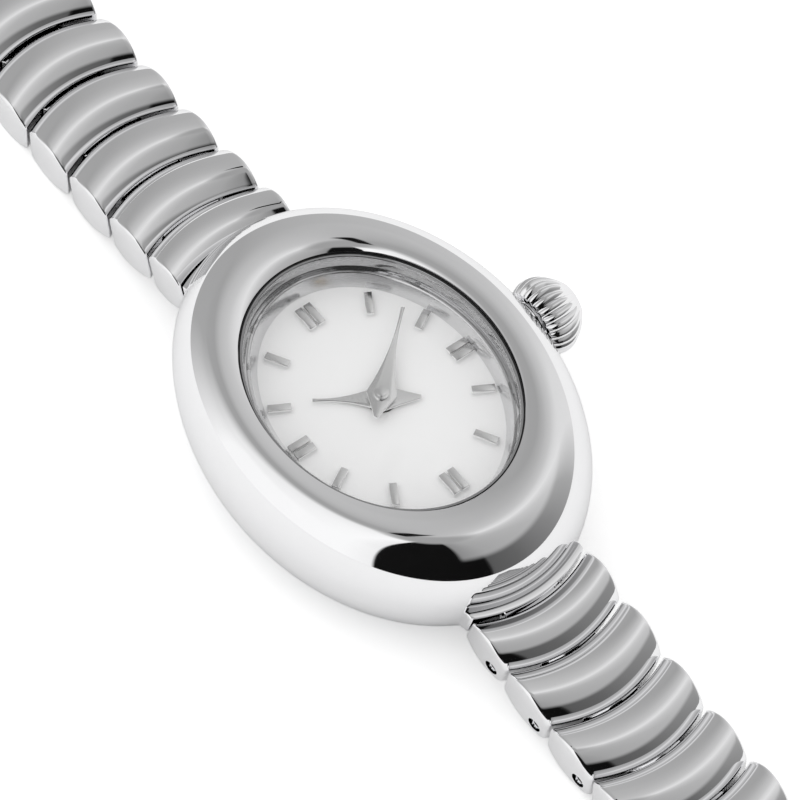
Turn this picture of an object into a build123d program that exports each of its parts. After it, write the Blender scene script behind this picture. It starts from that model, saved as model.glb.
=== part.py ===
from build123d import *
import math
import os

os.makedirs("parts", exist_ok=True)

# Frame: origin at the centre of the case back, on the surface that the watch lies on.
# +Z runs up through the dial, +Y to 12 o'clock, +X to 3 o'clock. Millimetres.
# Angles are in degrees. A share is a plain ratio of the size that it multiplies.

# Case: walls beyond the cavity, and the curves of the section
case_end_wall = 3.3
case_side_wall = 2.3
case_rim_height = 1.4
case_belt_rise = 0.6
case_lower_draw_in = 1.4
crest_inset = 3.35
crest_inner_run = 1.95
crest_inner_drop = 0.7
overrun = 3.0
slip_fit = 0.02

# Crystal, gasket and inner ring
inner_ring_height = 0.9
crystal_thickness = 1.2
crystal_sink = 0.4
crystal_bevel = 0.15
crystal_gasket_wall = 0.28
crystal_gasket_height = 1.15
ring_seat_inset = 0.5
view_end_inset = 1.12
view_side_inset = 1.16
inner_ring_flare = 0.47

# Dial and hour markers
dial_thickness = 0.4
dial_end_gap = 1.2
dial_side_gap = 0.6
dial_end_seat = 0.6
dial_side_seat = 0.3
dial_hole_radius = 0.9
marker_height = 0.3
marker_width = 0.48
marker_pair_gap = 0.14
marker_end_span = 2.31
marker_side_span = 1.42
marker_end_gap = 0.7
marker_side_gap = 0.06
hours_on_dial = 12
paired_hours = (0, 3, 6, 9)

# Hands: shown at eight minutes past ten
hour_hand_angle = 304.0
minute_hand_angle = 48.0
hour_hand_marker_gap = 1.02
hour_hand_tail = 2.36
minute_hand_ring_gap = 0.27
minute_hand_tail = 1.65
hand_half_width = 0.95
hand_tip_half_width = 0.12
hand_thickness = 0.12
hour_hand_gap = 0.17
hand_spacing = 0.4
hand_waist_share = (0.34, 0.40)
hand_tail_waist_share = (0.60, 0.42)

# Gear teeth: shares of the module and of the tooth pitch
motion_module = 0.12
train_module = 0.075
tooth_rise_share = 0.9
tooth_depth_share = 1.15
tooth_root_share = 0.54
tooth_tip_share = 0.24
cannon_teeth = 10
minute_wheel_teeth = 30
minute_pinion_teeth = 8
hour_wheel_teeth = 32
centre_wheel_teeth = 60
third_pinion_teeth = 10
third_wheel_teeth = 50
rotor_pinion_teeth = 10
minute_wheel_bearing = 225.0
third_wheel_bearing = -20.0
rotor_bearing = -90.0

# Motion work under the dial: drops are measured from the top of the main plate
cannon_drop = 1.06
cannon_tooth_length = 0.55
minute_wheel_drop = 0.94
minute_wheel_thickness = 0.2
minute_pinion_length = 0.62
hour_wheel_drop = 0.43
hour_wheel_thickness = 0.2
hour_pipe_radius = 0.75
hour_pipe_bore = 0.45
arbor_radius = 0.4
arbor_drop = 1.05
arbor_proud = 0.11
minute_post_radius = 0.22
minute_shoulder_radius = 0.4
running_gap = 0.05

# Movement: main plate, train and bridge. Drops are measured from the foot of the main plate
plate_thickness = 2.16
plate_head_gap = 0.04
movement_corner = 4.5
motion_pocket_depth = 1.16
motion_pocket_gap = 0.25
train_wheel_thickness = 0.18
centre_wheel_drop = 0.44
third_wheel_drop = 0.84
third_pinion_drop = 0.2
rotor_pinion_drop = 0.9
rotor_pinion_length = 0.3
rotor_magnet_radius = 0.8
rotor_magnet_drop = 0.55
rotor_magnet_thickness = 0.45
pivot_radius = 0.12
pivot_drop = 1.35
pivot_rise = 0.25
bridge_drop = 1.45
bridge_thickness = 0.3
bridge_margin = 0.85
bridge_post_radius = 0.5
bridge_wheel_gap = 0.235
bridge_stator_gap = 0.5
bridge_left_bearing = 238.4
bridge_right_bearing = 47.5
bridge_rotor_bearing = -5.9
screw_radius = 0.25
screw_head_radius = 0.45
screw_head_height = 0.25
screw_grip = 0.9
screw_slot_width = 0.12
screw_slot_depth = 0.12

# Stator, coil, circuit board, crystal can, battery and clamp
stator_drop = 0.5
stator_thickness = 0.28
stator_eye_radius = 1.45
stator_bore_gap = 0.15
stator_eye_overlap = 0.298
stator_bar_width = 1.6
stator_end_wall = 1.1
stator_corner_wall = 0.148
stator_leg_width = 0.9
coil_core_thickness = 0.32
coil_radius = 0.6
coil_half_length = 3.0
coil_bar_gap = 0.95
board_side_wall = 0.3
board_wheel_gap = 0.4325
board_stator_gap = 0.2
board_battery_gap = 0.8
board_corner = 0.4
board_drop = 0.8
board_thickness = 0.2
board_post_radius = 0.4
board_post_inset = 0.6
chip_side = 1.6
chip_thickness = 0.5
chip_inset = 1.05
can_radius = 0.52
can_length = 3.4
can_side_inset = 0.85
can_end_inset = 0.1
battery_bearing = 116.6
battery_wheel_gap = 0.098
battery_end_wall = 0.4
battery_side_wall = 0.496
battery_radius = 3.4
battery_thickness = 1.65
battery_cap_step = 0.3
battery_cap_thickness = 0.35
battery_gap = 0.04
clamp_thickness = 0.18
clamp_width = 1.7
clamp_inset = 0.7
clamp_post_radius = 0.6
clamp_post_gap = 1.0

# Movement holder
holder_wall_gap = 0.15
holder_drop = 1.6
holder_back_gap = 0.2
holder_end_width = 2.6
holder_side_width = 2.1
holder_fit = 0.1

# Crown, tube and stem, along +X
crown_axis_rise = 0.7
tube_inner_gap = 0.15
tube_overlap = 1.3
tube_radius = 1.0
tube_bore = 0.55
tube_flange_radius = 1.5
tube_flange_sink = 0.18
tube_flange_thickness = 0.33
crown_stand_off = 0.4
crown_length = 2.75
crown_base_radius = 1.95
crown_radius = 2.46
crown_widest_share = 0.42
crown_face_radius = 1.25
crown_rib_count = 24
crown_valley_share = 0.92
crown_recess_radius = 1.38
crown_recess_depth = 1.5
crown_gasket_width = 0.42
crown_gasket_inset = 0.2
stem_radius = 0.35
stem_depth = 3.3
stem_square_length = 2.2
stem_square_side = 0.48
stem_grip = 2.3
stem_channel_gap = 0.08
setting_pinion_teeth = 12
setting_pinion_inset = 0.45
setting_pinion_length = 0.95
setting_pocket_gap = 0.15

# Case back and its gasket
back_end_slope = 4.3
back_side_slope = 3.3
back_edge_gap = 0.25
back_thickness = 1.0
back_register_wall = 0.9
back_register_rise = 1.0
back_gasket_rise = 0.06
back_gasket_size = 0.42

# Bracelet links, in a frame at each link's near hinge: out along the bracelet, and up
link_half_width = 4.0
link_end_bulge = 0.35
link_pitch = 4.3
first_link_pitch = 3.6
link_gap = 0.35
lug_gap = 0.25
link_overhang = 0.94
link_edge_rise = 1.5
link_crown_rise = 1.05
first_link_crown_rise = 0.9
link_edge_drop = 0.7
link_belly_drop = 0.25
link_crescent = 0.95
link_dome = 0.1
link_edge_round = 0.25
knuckle_radius = 0.7
tongue_half_width = 2.0
tongue_root = 0.4
slot_side_gap = 0.15
slot_roof = 1.1
slot_heel_gap = 0.15
pin_radius = 0.4
pin_running_gap = 0.03
pin_blind_wall = 0.5
pin_head_sink = 0.05
links_each_side = 13
link_tilts = (17.0, 12.0, 8.0, 3.0)

# Lugs, in the frame of the hinge that carries the first link
lug_hinge_inset = 1.67
lug_hinge_drop = 1.78
lug_tilt = 10.0
lug_half_width = 4.15
lug_lip = 0.32
lug_cove_foot = 1.05
lug_cove_run = 1.35
lug_cove_sag = 0.22
lug_depth = 1.6
lug_toe_drop = 0.5
lug_heel_drop = 1.5
lug_slot_floor = 1.0

# Clasp: cover and folding blade on the 12 side, bar piece on the 6 side
cover_length = 18.0
cover_crown_rise = 0.6
cover_hollow_drop = 0.275
cover_wall = 1.3
cover_end_wall = 2.2
blade_pivot_inset = 1.1
blade_side_gap = 0.12
blade_thickness = 0.6
blade_hook_gap = 1.25
blade_window_length = 6.0
blade_window_half_width = 1.2
hook_radius = 0.85
hook_bore = 0.5
hook_mouth = 0.7
bar_piece_length = 6.4
bar_radius = 0.42
bar_arm_width = 1.3
bar_inset = 0.95
bar_window_length = 3.4


def on_bearing(distance, bearing, start=(0, 0)):
    """Point at a distance and bearing, counted from +X towards +Y, from a start point."""
    angle = math.radians(bearing)
    return (start[0] + distance * math.cos(angle), start[1] + distance * math.sin(angle))


# Heights, worked out from the case back upwards
back_register_head = case_rim_height + back_register_rise
back_gasket_foot = case_rim_height + back_gasket_rise
holder_foot_height = back_register_head + holder_back_gap
plate_foot_height = holder_foot_height + holder_drop
plate_head_height = plate_foot_height + plate_thickness
dial_face_height = plate_head_height + plate_head_gap + dial_thickness
crystal_seat_height = dial_face_height + inner_ring_height
case_crest_height = crystal_seat_height + crystal_thickness + crystal_sink
crown_axis_height = plate_foot_height + crown_axis_rise
case_belt_height = crown_axis_height + case_belt_rise
lug_hinge_height = case_belt_height - lug_hinge_drop
motion_pocket_floor = plate_head_height - motion_pocket_depth
cannon_height = plate_head_height - cannon_drop
minute_wheel_height = plate_head_height - minute_wheel_drop
hour_wheel_height = plate_head_height - hour_wheel_drop
hour_hand_height = dial_face_height + hour_hand_gap
minute_hand_height = hour_hand_height + hand_spacing
arbor_head_height = minute_hand_height + hand_thickness + arbor_proud
arbor_foot_height = plate_foot_height - arbor_drop
centre_wheel_height = plate_foot_height - centre_wheel_drop
third_wheel_height = plate_foot_height - third_wheel_drop
third_pinion_head = plate_foot_height - third_pinion_drop
rotor_pinion_foot = plate_foot_height - rotor_pinion_drop
rotor_magnet_height = plate_foot_height - rotor_magnet_drop
pivot_foot_height = plate_foot_height - pivot_drop
pivot_head_height = plate_foot_height + pivot_rise
bridge_height = plate_foot_height - bridge_drop
stator_height = plate_foot_height - stator_drop
board_height = plate_foot_height - board_drop

# Places in the movement, worked out from the wheel train and the battery
motion_distance = motion_module * (cannon_teeth + minute_wheel_teeth) / 2
third_distance = train_module * (centre_wheel_teeth + third_pinion_teeth) / 2
rotor_distance = train_module * (third_wheel_teeth + rotor_pinion_teeth) / 2
centre_wheel_tip = train_module * (centre_wheel_teeth / 2 + tooth_rise_share)
minute_wheel_place = on_bearing(motion_distance, minute_wheel_bearing)
third_wheel_place = on_bearing(third_distance, third_wheel_bearing)
rotor_place = on_bearing(rotor_distance, rotor_bearing, third_wheel_place)
bridge_wheel_distance = centre_wheel_tip + bridge_wheel_gap + bridge_post_radius
bridge_rotor_distance = stator_eye_radius + bridge_stator_gap + bridge_post_radius
bridge_posts = [
    on_bearing(bridge_wheel_distance, bridge_left_bearing),
    on_bearing(bridge_wheel_distance, bridge_right_bearing),
    on_bearing(bridge_rotor_distance, bridge_rotor_bearing, rotor_place),
]
battery_distance = centre_wheel_tip + battery_wheel_gap + battery_radius
battery_place = on_bearing(battery_distance, battery_bearing)
clamp_post_distance = battery_radius + clamp_post_gap + clamp_post_radius
clamp_post = on_bearing(clamp_post_distance, 0, battery_place)
clamp_reach = clamp_post_distance - clamp_inset
stator_near = rotor_place[1] - stator_eye_radius + stator_eye_overlap
stator_far = stator_near - stator_bar_width
coil_axis_y = stator_far - coil_bar_gap - coil_radius
stator_foot = coil_axis_y - stator_leg_width / 2
movement_half_length = max(
    stator_end_wall - stator_foot, battery_place[1] + battery_radius + battery_end_wall
)
movement_half_width = battery_radius - battery_place[0] + battery_side_wall
corner_half_length = movement_half_length - movement_corner
corner_half_width = movement_half_width - movement_corner
corner_half_span = math.sqrt(movement_corner**2 - (stator_foot + corner_half_length) ** 2)
stator_half_width = corner_half_width + corner_half_span - stator_corner_wall
coil_posts = [
    (leg * (stator_half_width - stator_leg_width / 2), coil_axis_y) for leg in (-1, 1)
]
board_left = board_side_wall - movement_half_width
board_right = -centre_wheel_tip - board_wheel_gap
board_bottom = stator_near + board_stator_gap
board_top = battery_place[1] - battery_radius - board_battery_gap
board_posts = [
    (board_right - board_post_inset, board_bottom + board_post_inset),
    (board_left + board_post_inset, board_top - board_post_inset),
]
chip_place = (board_right - chip_inset, (board_bottom + board_top) / 2)
can_place = (board_left + can_side_inset, board_bottom + can_end_inset + can_length / 2)

# Ovals, worked out from the movement outwards
cavity_half_length = movement_half_length + holder_end_width
cavity_half_width = movement_half_width + holder_side_width
case_half_length = cavity_half_length + case_end_wall
case_half_width = cavity_half_width + case_side_wall
dial_half_length = cavity_half_length - dial_end_gap
dial_half_width = cavity_half_width - dial_side_gap
opening_half_length = dial_half_length - dial_end_seat
opening_half_width = dial_half_width - dial_side_seat
dial_view_half_length = opening_half_length - view_end_inset
dial_view_half_width = opening_half_width - view_side_inset
marker_inner_half_length = dial_view_half_length - marker_end_span
marker_inner_half_width = dial_view_half_width - marker_side_span
hour_hand_reach = marker_inner_half_width - hour_hand_marker_gap
minute_hand_reach = dial_view_half_width - minute_hand_ring_gap
back_flat_half_length = case_half_length - back_end_slope
back_flat_half_width = case_half_width - back_side_slope
lug_hinge_reach = case_half_length - lug_hinge_inset

# Crown and stem, worked out from the cavity and the case
tube_inner_end = cavity_half_width + tube_inner_gap
tube_flange_seat = case_half_width - tube_flange_sink
crown_start = case_half_width + crown_stand_off
tube_outer_end = crown_start + tube_overlap
crown_gasket_place = crown_start + crown_gasket_inset
stem_outer_end = crown_start + stem_grip
stem_inner_end = movement_half_width - stem_depth
stem_square_end = stem_inner_end + stem_square_length
setting_pinion_place = stem_inner_end + setting_pinion_inset

# Other values worked out from the sizes above
plan_ratio = case_half_width / case_half_length
crest_radius = case_half_length - crest_inset
crest_inner_height = case_crest_height - crest_inner_drop
ring_bore_half_width = opening_half_width - ring_seat_inset
ring_bore_half_length = opening_half_length - ring_seat_inset
marker_outer_half_length = dial_view_half_length - marker_end_gap
marker_outer_half_width = dial_view_half_width - marker_side_gap
holder_half_width = cavity_half_width - holder_fit
holder_half_length = cavity_half_length - holder_fit
link_belly = link_edge_drop + link_belly_drop
link_near_wall = link_overhang + link_gap
first_near_wall = link_overhang + lug_gap
stator_eye_bore = rotor_magnet_radius + stator_bore_gap
coil_core_height = stator_height - coil_core_thickness
coil_axis_height = stator_height - coil_core_thickness / 2
battery_head = plate_foot_height - battery_gap
battery_foot = battery_head - battery_thickness
clamp_height = battery_foot - running_gap - clamp_thickness
blade_half_width = link_half_width - cover_wall - blade_side_gap
full_turn = 360.0
half_turn = 180.0
quarter_turn = 90.0

# Each group of screws: places, height of the face that the heads press on, post radius and foot
screw_groups = [
    (bridge_posts, bridge_height, bridge_post_radius, bridge_height + bridge_thickness),
    (coil_posts, coil_core_height, screw_head_radius, stator_height + stator_thickness),
    (board_posts, board_height, board_post_radius, board_height + board_thickness),
    ([clamp_post], clamp_height, clamp_post_radius, clamp_height + clamp_thickness),
]

# Hinges of the bracelet: reach along Y, height, tilt of the piece beyond, and pitch
bracelet_hinges = []
next_reach = lug_hinge_reach
next_height = lug_hinge_height
for index in range(links_each_side):
    tilt = link_tilts[index] if index < len(link_tilts) else 0
    pitch = link_pitch if index else first_link_pitch
    bracelet_hinges.append((next_reach, next_height, tilt, pitch))
    next_reach += pitch * math.cos(math.radians(tilt))
    next_height -= pitch * math.sin(math.radians(tilt))
clasp_hinge = (next_reach, next_height, 0, 0)
lug_hinge = (lug_hinge_reach, lug_hinge_height, lug_tilt, 0)


def up_plane(height, place=(0, 0)):
    """Horizontal plane at a height, with its origin over a place."""
    return Plane((place[0], place[1], height))


def along_x(start, height, y=0):
    """Plane square to +X that starts at a distance out from the centre."""
    return Plane(origin=(start, y, height), x_dir=(0, 1, 0), z_dir=(1, 0, 0))


def oval_prism(half_width, half_length, low, high, mode=Mode.ADD):
    """Adds or cuts an upright oval block in the part being built."""
    with BuildSketch(Plane.XY.offset(low)) as oval:
        Ellipse(half_width, half_length)
    extrude(oval.sketch, amount=high - low, mode=mode)


def disc(radius, low, high, place=(0, 0), mode=Mode.ADD):
    """Adds or cuts an upright round block in the part being built."""
    with BuildSketch(up_plane(low, place)) as circle:
        Circle(radius)
    extrude(circle.sketch, amount=high - low, mode=mode)


def cross_rod(radius, start, end, height, y=0, mode=Mode.ADD):
    """Adds or cuts a round rod that runs along X."""
    with BuildSketch(along_x(start, height, y)) as circle:
        Circle(radius)
    extrude(circle.sketch, amount=end - start, mode=mode)


def toothed_face(teeth, module, plane, tooth_at=0.0):
    """Face of a toothed wheel with one tooth centred on the bearing tooth_at."""
    pitch_angle = full_turn / teeth
    pitch_radius = module * teeth / 2
    tip_radius = pitch_radius + tooth_rise_share * module
    root_radius = pitch_radius - tooth_depth_share * module
    root_half = tooth_root_share * pitch_angle / 2
    tip_half = tooth_tip_share * pitch_angle / 2
    outline = []
    for tooth in range(teeth):
        middle = tooth_at + tooth * pitch_angle
        outline.append(on_bearing(root_radius, middle - root_half))
        outline.append(on_bearing(tip_radius, middle - tip_half))
        outline.append(on_bearing(tip_radius, middle + tip_half))
        outline.append(on_bearing(root_radius, middle + root_half))
    with BuildSketch(plane) as face:
        with BuildLine():
            Polyline(*outline, close=True)
        make_face()
    return face.sketch


def toothed_disc(teeth, module, low, high, place=(0, 0), tooth_at=0.0):
    """Adds an upright toothed wheel to the part being built."""
    extrude(toothed_face(teeth, module, up_plane(low, place), tooth_at), amount=high - low)


def gap_bearing(teeth, towards):
    """Bearing of a tooth so that a gap between two teeth faces the given bearing."""
    return towards + full_turn / teeth / 2


def bracelet_plane(side, hinge, x=0, shift=0, lift=0):
    """Plane square to X at a bracelet hinge: its x runs outwards along the bracelet, y up.

    Side is +1 at 12 o'clock and -1 at 6. The shift is outwards and the lift upwards.
    """
    tilt = math.radians(hinge[2])
    out, down = math.cos(tilt), math.sin(tilt)
    reach = hinge[0] + shift * out + lift * down
    height = hinge[1] - shift * down + lift * out
    origin = (side * x, side * reach, height)
    return Plane(origin=origin, x_dir=(0, side * out, -down), z_dir=(side, 0, 0))


def bracelet_rod(side, hinge, u, radius, start, end, mode=Mode.ADD):
    """Adds or cuts a rod along X at a distance u outwards from a hinge."""
    with BuildSketch(bracelet_plane(side, hinge, start, u)) as circle:
        Circle(radius)
    extrude(circle.sketch, amount=end - start, mode=mode)


def bracelet_box(side, hinge, u_low, u_high, v_low, v_high, half_width, mode=Mode.ADD):
    """Adds or cuts a block centred on the bracelet, between two u and two v values."""
    with BuildSketch(bracelet_plane(side, hinge)) as block:
        with Locations(((u_low + u_high) / 2, (v_low + v_high) / 2)):
            Rectangle(u_high - u_low, v_high - v_low)
    extrude(block.sketch, amount=half_width, both=True, mode=mode)


def crescent_loft(side, hinge, outline_at):
    """Adds a loft through three side outlines, set further out in the middle than at the ends."""
    stations = []
    for station in (-1, 0, 1):
        x = station * (link_half_width + link_end_bulge)
        curve = 1 - (x / link_half_width) ** 2
        plane = bracelet_plane(side, hinge, x, link_crescent * curve, link_dome * curve)
        stations.append(outline_at(plane))
    loft(stations)


def link_outline(near, far, rise):
    """Function that draws a link's side outline: arched top, curved belly, round corners."""
    middle = (near + far) / 2

    def draw(plane):
        with BuildSketch(plane) as outline:
            with BuildLine():
                Line((near, -link_edge_drop), (near, link_edge_rise))
                ThreePointArc(
                    (near, link_edge_rise), (middle, link_edge_rise + rise), (far, link_edge_rise)
                )
                Line((far, link_edge_rise), (far, -link_edge_drop))
                ThreePointArc(
                    (far, -link_edge_drop), (middle, -link_belly), (near, -link_edge_drop)
                )
            make_face()
            fillet(outline.vertices(), link_edge_round)
        return outline.sketch

    return draw


def link_body(side, hinge, near, far, rise):
    """Adds a crescent-shaped link block whose two ends across the bracelet bulge in plan."""
    crescent_loft(side, hinge, link_outline(near, far, rise))
    low = near - link_crescent
    high = far + link_crescent
    middle = (low + high) / 2
    plane = bracelet_plane(side, hinge)
    plan = Plane(origin=plane.origin, x_dir=plane.x_dir, z_dir=plane.y_dir)
    with BuildSketch(plan) as outline:
        with BuildLine():
            for end in (-1, 1):
                edge = end * link_half_width
                ThreePointArc((low, edge), (middle, edge + end * link_end_bulge), (high, edge))
            Line((low, -link_half_width), (low, link_half_width))
            Line((high, -link_half_width), (high, link_half_width))
        make_face()
    extrude(outline.sketch, amount=link_edge_rise + rise + overrun, both=True, mode=Mode.INTERSECT)


def link_tongue(side, hinge, near):
    """Adds the tongue and knuckle that reach back to the hinge, with its running bore."""
    root = near + link_crescent + tongue_root
    bracelet_box(side, hinge, 0, root, -knuckle_radius, knuckle_radius, tongue_half_width)
    bracelet_rod(side, hinge, 0, knuckle_radius, -tongue_half_width, tongue_half_width)
    bracelet_rod(
        side,
        hinge,
        0,
        pin_radius + pin_running_gap,
        -tongue_half_width - overrun,
        tongue_half_width + overrun,
        Mode.SUBTRACT,
    )


def hinge_slot(side, hinge, u):
    """Cuts the slot and the pin holes of the hinge at a distance u outwards."""
    heel = u - knuckle_radius - slot_heel_gap
    half_width = tongue_half_width + slot_side_gap
    bracelet_box(side, hinge, heel, u + overrun, -overrun, slot_roof, half_width, Mode.SUBTRACT)
    start = pin_blind_wall - link_half_width
    bracelet_rod(
        side, hinge, u, pin_radius + slip_fit, start, link_half_width + overrun, Mode.SUBTRACT
    )


def hinge_pin(side, hinge, u):
    """Adds the pin of the hinge at a distance u outwards."""
    start = pin_blind_wall + slip_fit - link_half_width
    bracelet_rod(side, hinge, u, pin_radius, start, link_half_width - pin_head_sink)


# Case body: the pebble-shaped ring, its bores, and a lug at each end
def lug_outline(plane):
    """Side outline of a lug: a cove on top that rises to a thin lip over the first link."""
    cove_start = link_overhang - lug_lip - lug_cove_run
    cove_end = link_overhang - lug_lip
    cove_middle = ((cove_start + cove_end) / 2, (lug_cove_foot + link_edge_rise) / 2 - lug_cove_sag)
    heel = -lug_depth - link_crescent
    with BuildSketch(plane) as outline:
        with BuildLine():
            Polyline(
                (cove_end, link_edge_rise),
                (link_overhang, link_edge_rise),
                (link_overhang, -lug_toe_drop),
                (-lug_depth / 2, -lug_heel_drop),
                (heel, -lug_heel_drop),
                (heel, lug_cove_foot),
                (cove_start, lug_cove_foot),
            )
            ThreePointArc((cove_start, lug_cove_foot), cove_middle, (cove_end, link_edge_rise))
        make_face()
    return outline.sketch


with BuildPart() as lug_12:
    crescent_loft(1, lug_hinge, lug_outline)
    with BuildSketch(Plane.XY):
        Rectangle(2 * lug_half_width, 2 * (case_half_length + overrun))
    extrude(amount=case_crest_height, mode=Mode.INTERSECT)

with BuildPart() as case_body:
    with BuildSketch(Plane.XZ):
        with BuildLine():
            Line((0, case_rim_height), (case_half_length - case_lower_draw_in, case_rim_height))
            TangentArc(
                (case_half_length, case_belt_height),
                (case_half_length - case_lower_draw_in, case_rim_height),
                tangent=(0, -1),
            )
            EllipticalCenterArc(
                (crest_radius, case_belt_height),
                crest_inset,
                case_crest_height - case_belt_height,
                start_angle=0,
                arc_size=quarter_turn,
            )
            EllipticalCenterArc(
                (crest_radius, crest_inner_height),
                crest_inner_run,
                crest_inner_drop,
                start_angle=quarter_turn,
                arc_size=quarter_turn,
            )
            Polyline(
                (crest_radius - crest_inner_run, crest_inner_height),
                (0, crest_inner_height),
                (0, case_rim_height),
            )
        make_face()
    revolve(axis=Axis.Z)
    scale(by=(plan_ratio, 1, 1))
    add(lug_12.part)
    add(lug_12.part.rotate(Axis.Z, half_turn))
    oval_prism(cavity_half_width, cavity_half_length, 0, dial_face_height, Mode.SUBTRACT)
    oval_prism(
        ring_bore_half_width,
        ring_bore_half_length,
        dial_face_height,
        crystal_seat_height,
        Mode.SUBTRACT,
    )
    oval_prism(
        opening_half_width,
        opening_half_length,
        crystal_seat_height,
        case_crest_height + overrun,
        Mode.SUBTRACT,
    )
    cross_rod(tube_radius + slip_fit, 0, case_half_length, crown_axis_height, mode=Mode.SUBTRACT)
    cross_rod(
        tube_flange_radius + slip_fit,
        tube_flange_seat,
        case_half_length,
        crown_axis_height,
        mode=Mode.SUBTRACT,
    )
    for side in (1, -1):
        heel = -knuckle_radius - slot_heel_gap
        half_width = tongue_half_width + slot_side_gap
        bracelet_box(
            side, lug_hinge, heel, overrun, -lug_slot_floor, slot_roof, half_width, Mode.SUBTRACT
        )
        start = pin_blind_wall - link_half_width
        bracelet_rod(
            side, lug_hinge, 0, pin_radius + slip_fit, start, case_half_width, Mode.SUBTRACT
        )
case_body.part.label = "case_body"
export_step(case_body.part, "parts/case_body.step")

with BuildPart() as lug_pins:
    for side in (1, -1):
        hinge_pin(side, lug_hinge, 0)
lug_pins.part.label = "lug_pins"
export_step(lug_pins.part, "parts/lug_pins.step")

# Crystal, its gasket, and the ring between crystal and dial
crystal_half_width = opening_half_width - crystal_gasket_wall - 2 * slip_fit
crystal_half_length = opening_half_length - crystal_gasket_wall - 2 * slip_fit

with BuildPart() as crystal:
    oval_prism(
        crystal_half_width,
        crystal_half_length,
        crystal_seat_height,
        crystal_seat_height + crystal_thickness,
    )
    chamfer(crystal.faces().sort_by(Axis.Z)[-1].edges(), crystal_bevel)
crystal.part.label = "crystal"
export_step(crystal.part, "parts/crystal.step")

with BuildPart() as crystal_gasket:
    gasket_head = crystal_seat_height + crystal_gasket_height
    oval_prism(
        opening_half_width - slip_fit,
        opening_half_length - slip_fit,
        crystal_seat_height,
        gasket_head,
    )
    oval_prism(
        crystal_half_width + slip_fit,
        crystal_half_length + slip_fit,
        crystal_seat_height,
        gasket_head,
        Mode.SUBTRACT,
    )
crystal_gasket.part.label = "crystal_gasket"
export_step(crystal_gasket.part, "parts/crystal_gasket.step")

with BuildPart() as inner_ring:
    oval_prism(
        ring_bore_half_width - slip_fit,
        ring_bore_half_length - slip_fit,
        dial_face_height,
        crystal_seat_height,
    )
    with BuildSketch(Plane.XY.offset(dial_face_height)):
        Ellipse(dial_view_half_width, dial_view_half_length)
    with BuildSketch(Plane.XY.offset(crystal_seat_height)):
        Ellipse(dial_view_half_width + inner_ring_flare, dial_view_half_length + inner_ring_flare)
    loft(mode=Mode.SUBTRACT)
inner_ring.part.label = "inner_ring"
export_step(inner_ring.part, "parts/inner_ring.step")

# Dial and the sixteen bars that mark the hours
with BuildPart() as dial:
    oval_prism(dial_half_width, dial_half_length, dial_face_height - dial_thickness, dial_face_height)
    disc(dial_hole_radius, dial_face_height - dial_thickness, dial_face_height, mode=Mode.SUBTRACT)
dial.part.label = "dial"
export_step(dial.part, "parts/dial.step")


def oval_radius(half_width, half_length, clock_angle):
    """Distance from the centre to an oval along a clock angle, counted from 12."""
    angle = math.radians(clock_angle)
    return 1 / math.hypot(math.sin(angle) / half_width, math.cos(angle) / half_length)


with BuildPart() as hour_markers:
    for hour in range(hours_on_dial):
        clock_angle = hour * full_turn / hours_on_dial
        low = oval_radius(marker_inner_half_width, marker_inner_half_length, clock_angle)
        high = oval_radius(marker_outer_half_width, marker_outer_half_length, clock_angle)
        spread = (marker_width + marker_pair_gap) / 2
        offsets = (-spread, spread) if hour in paired_hours else (0,)
        with BuildSketch(Plane.XY.offset(dial_face_height).rotated((0, 0, -clock_angle))):
            with Locations(*[(offset_x, (low + high) / 2) for offset_x in offsets]):
                Rectangle(marker_width, high - low)
        extrude(amount=marker_height)
hour_markers.part.label = "hour_markers"
export_step(hour_markers.part, "parts/hour_markers.step")


# Hands: thin four-pointed stars with hollowed sides
def hand_plate(angle, reach, tail, height, hole):
    """Adds a hand that points to a clock angle, with its hole over the centre."""
    sides = []
    for right in (1, -1):
        sides.append((right, reach, hand_waist_share))
        sides.append((right, -tail, hand_tail_waist_share))
    with BuildSketch(Plane.XY.offset(height).rotated((0, 0, -angle))) as outline:
        with BuildLine():
            for right, end, (across_share, along_share) in sides:
                ThreePointArc(
                    (right * hand_tip_half_width, end),
                    (right * across_share * hand_half_width, along_share * end),
                    (right * hand_half_width, 0),
                )
            Line((-hand_tip_half_width, reach), (hand_tip_half_width, reach))
            Line((-hand_tip_half_width, -tail), (hand_tip_half_width, -tail))
        make_face()
        Circle(hole, mode=Mode.SUBTRACT)
    extrude(outline.sketch, amount=hand_thickness)


with BuildPart() as hour_hand:
    hand_plate(hour_hand_angle, hour_hand_reach, hour_hand_tail, hour_hand_height, hour_pipe_bore)
hour_hand.part.label = "hour_hand"
export_step(hour_hand.part, "parts/hour_hand.step")

with BuildPart() as minute_hand:
    hand_plate(
        minute_hand_angle,
        minute_hand_reach,
        minute_hand_tail,
        minute_hand_height,
        arbor_radius + slip_fit,
    )
minute_hand.part.label = "minute_hand"
export_step(minute_hand.part, "parts/minute_hand.step")

# Motion work: cannon and centre wheel on one arbor, minute wheel, hour wheel with its pipe
with BuildPart() as centre_wheel:
    disc(arbor_radius, arbor_foot_height, arbor_head_height)
    disc(pivot_radius, pivot_foot_height, arbor_foot_height)
    toothed_disc(
        cannon_teeth,
        motion_module,
        cannon_height,
        cannon_height + cannon_tooth_length,
        tooth_at=minute_wheel_bearing,
    )
    toothed_disc(
        centre_wheel_teeth,
        train_module,
        centre_wheel_height,
        centre_wheel_height + train_wheel_thickness,
        tooth_at=third_wheel_bearing,
    )
centre_wheel.part.label = "centre_wheel"
export_step(centre_wheel.part, "parts/centre_wheel.step")

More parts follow.
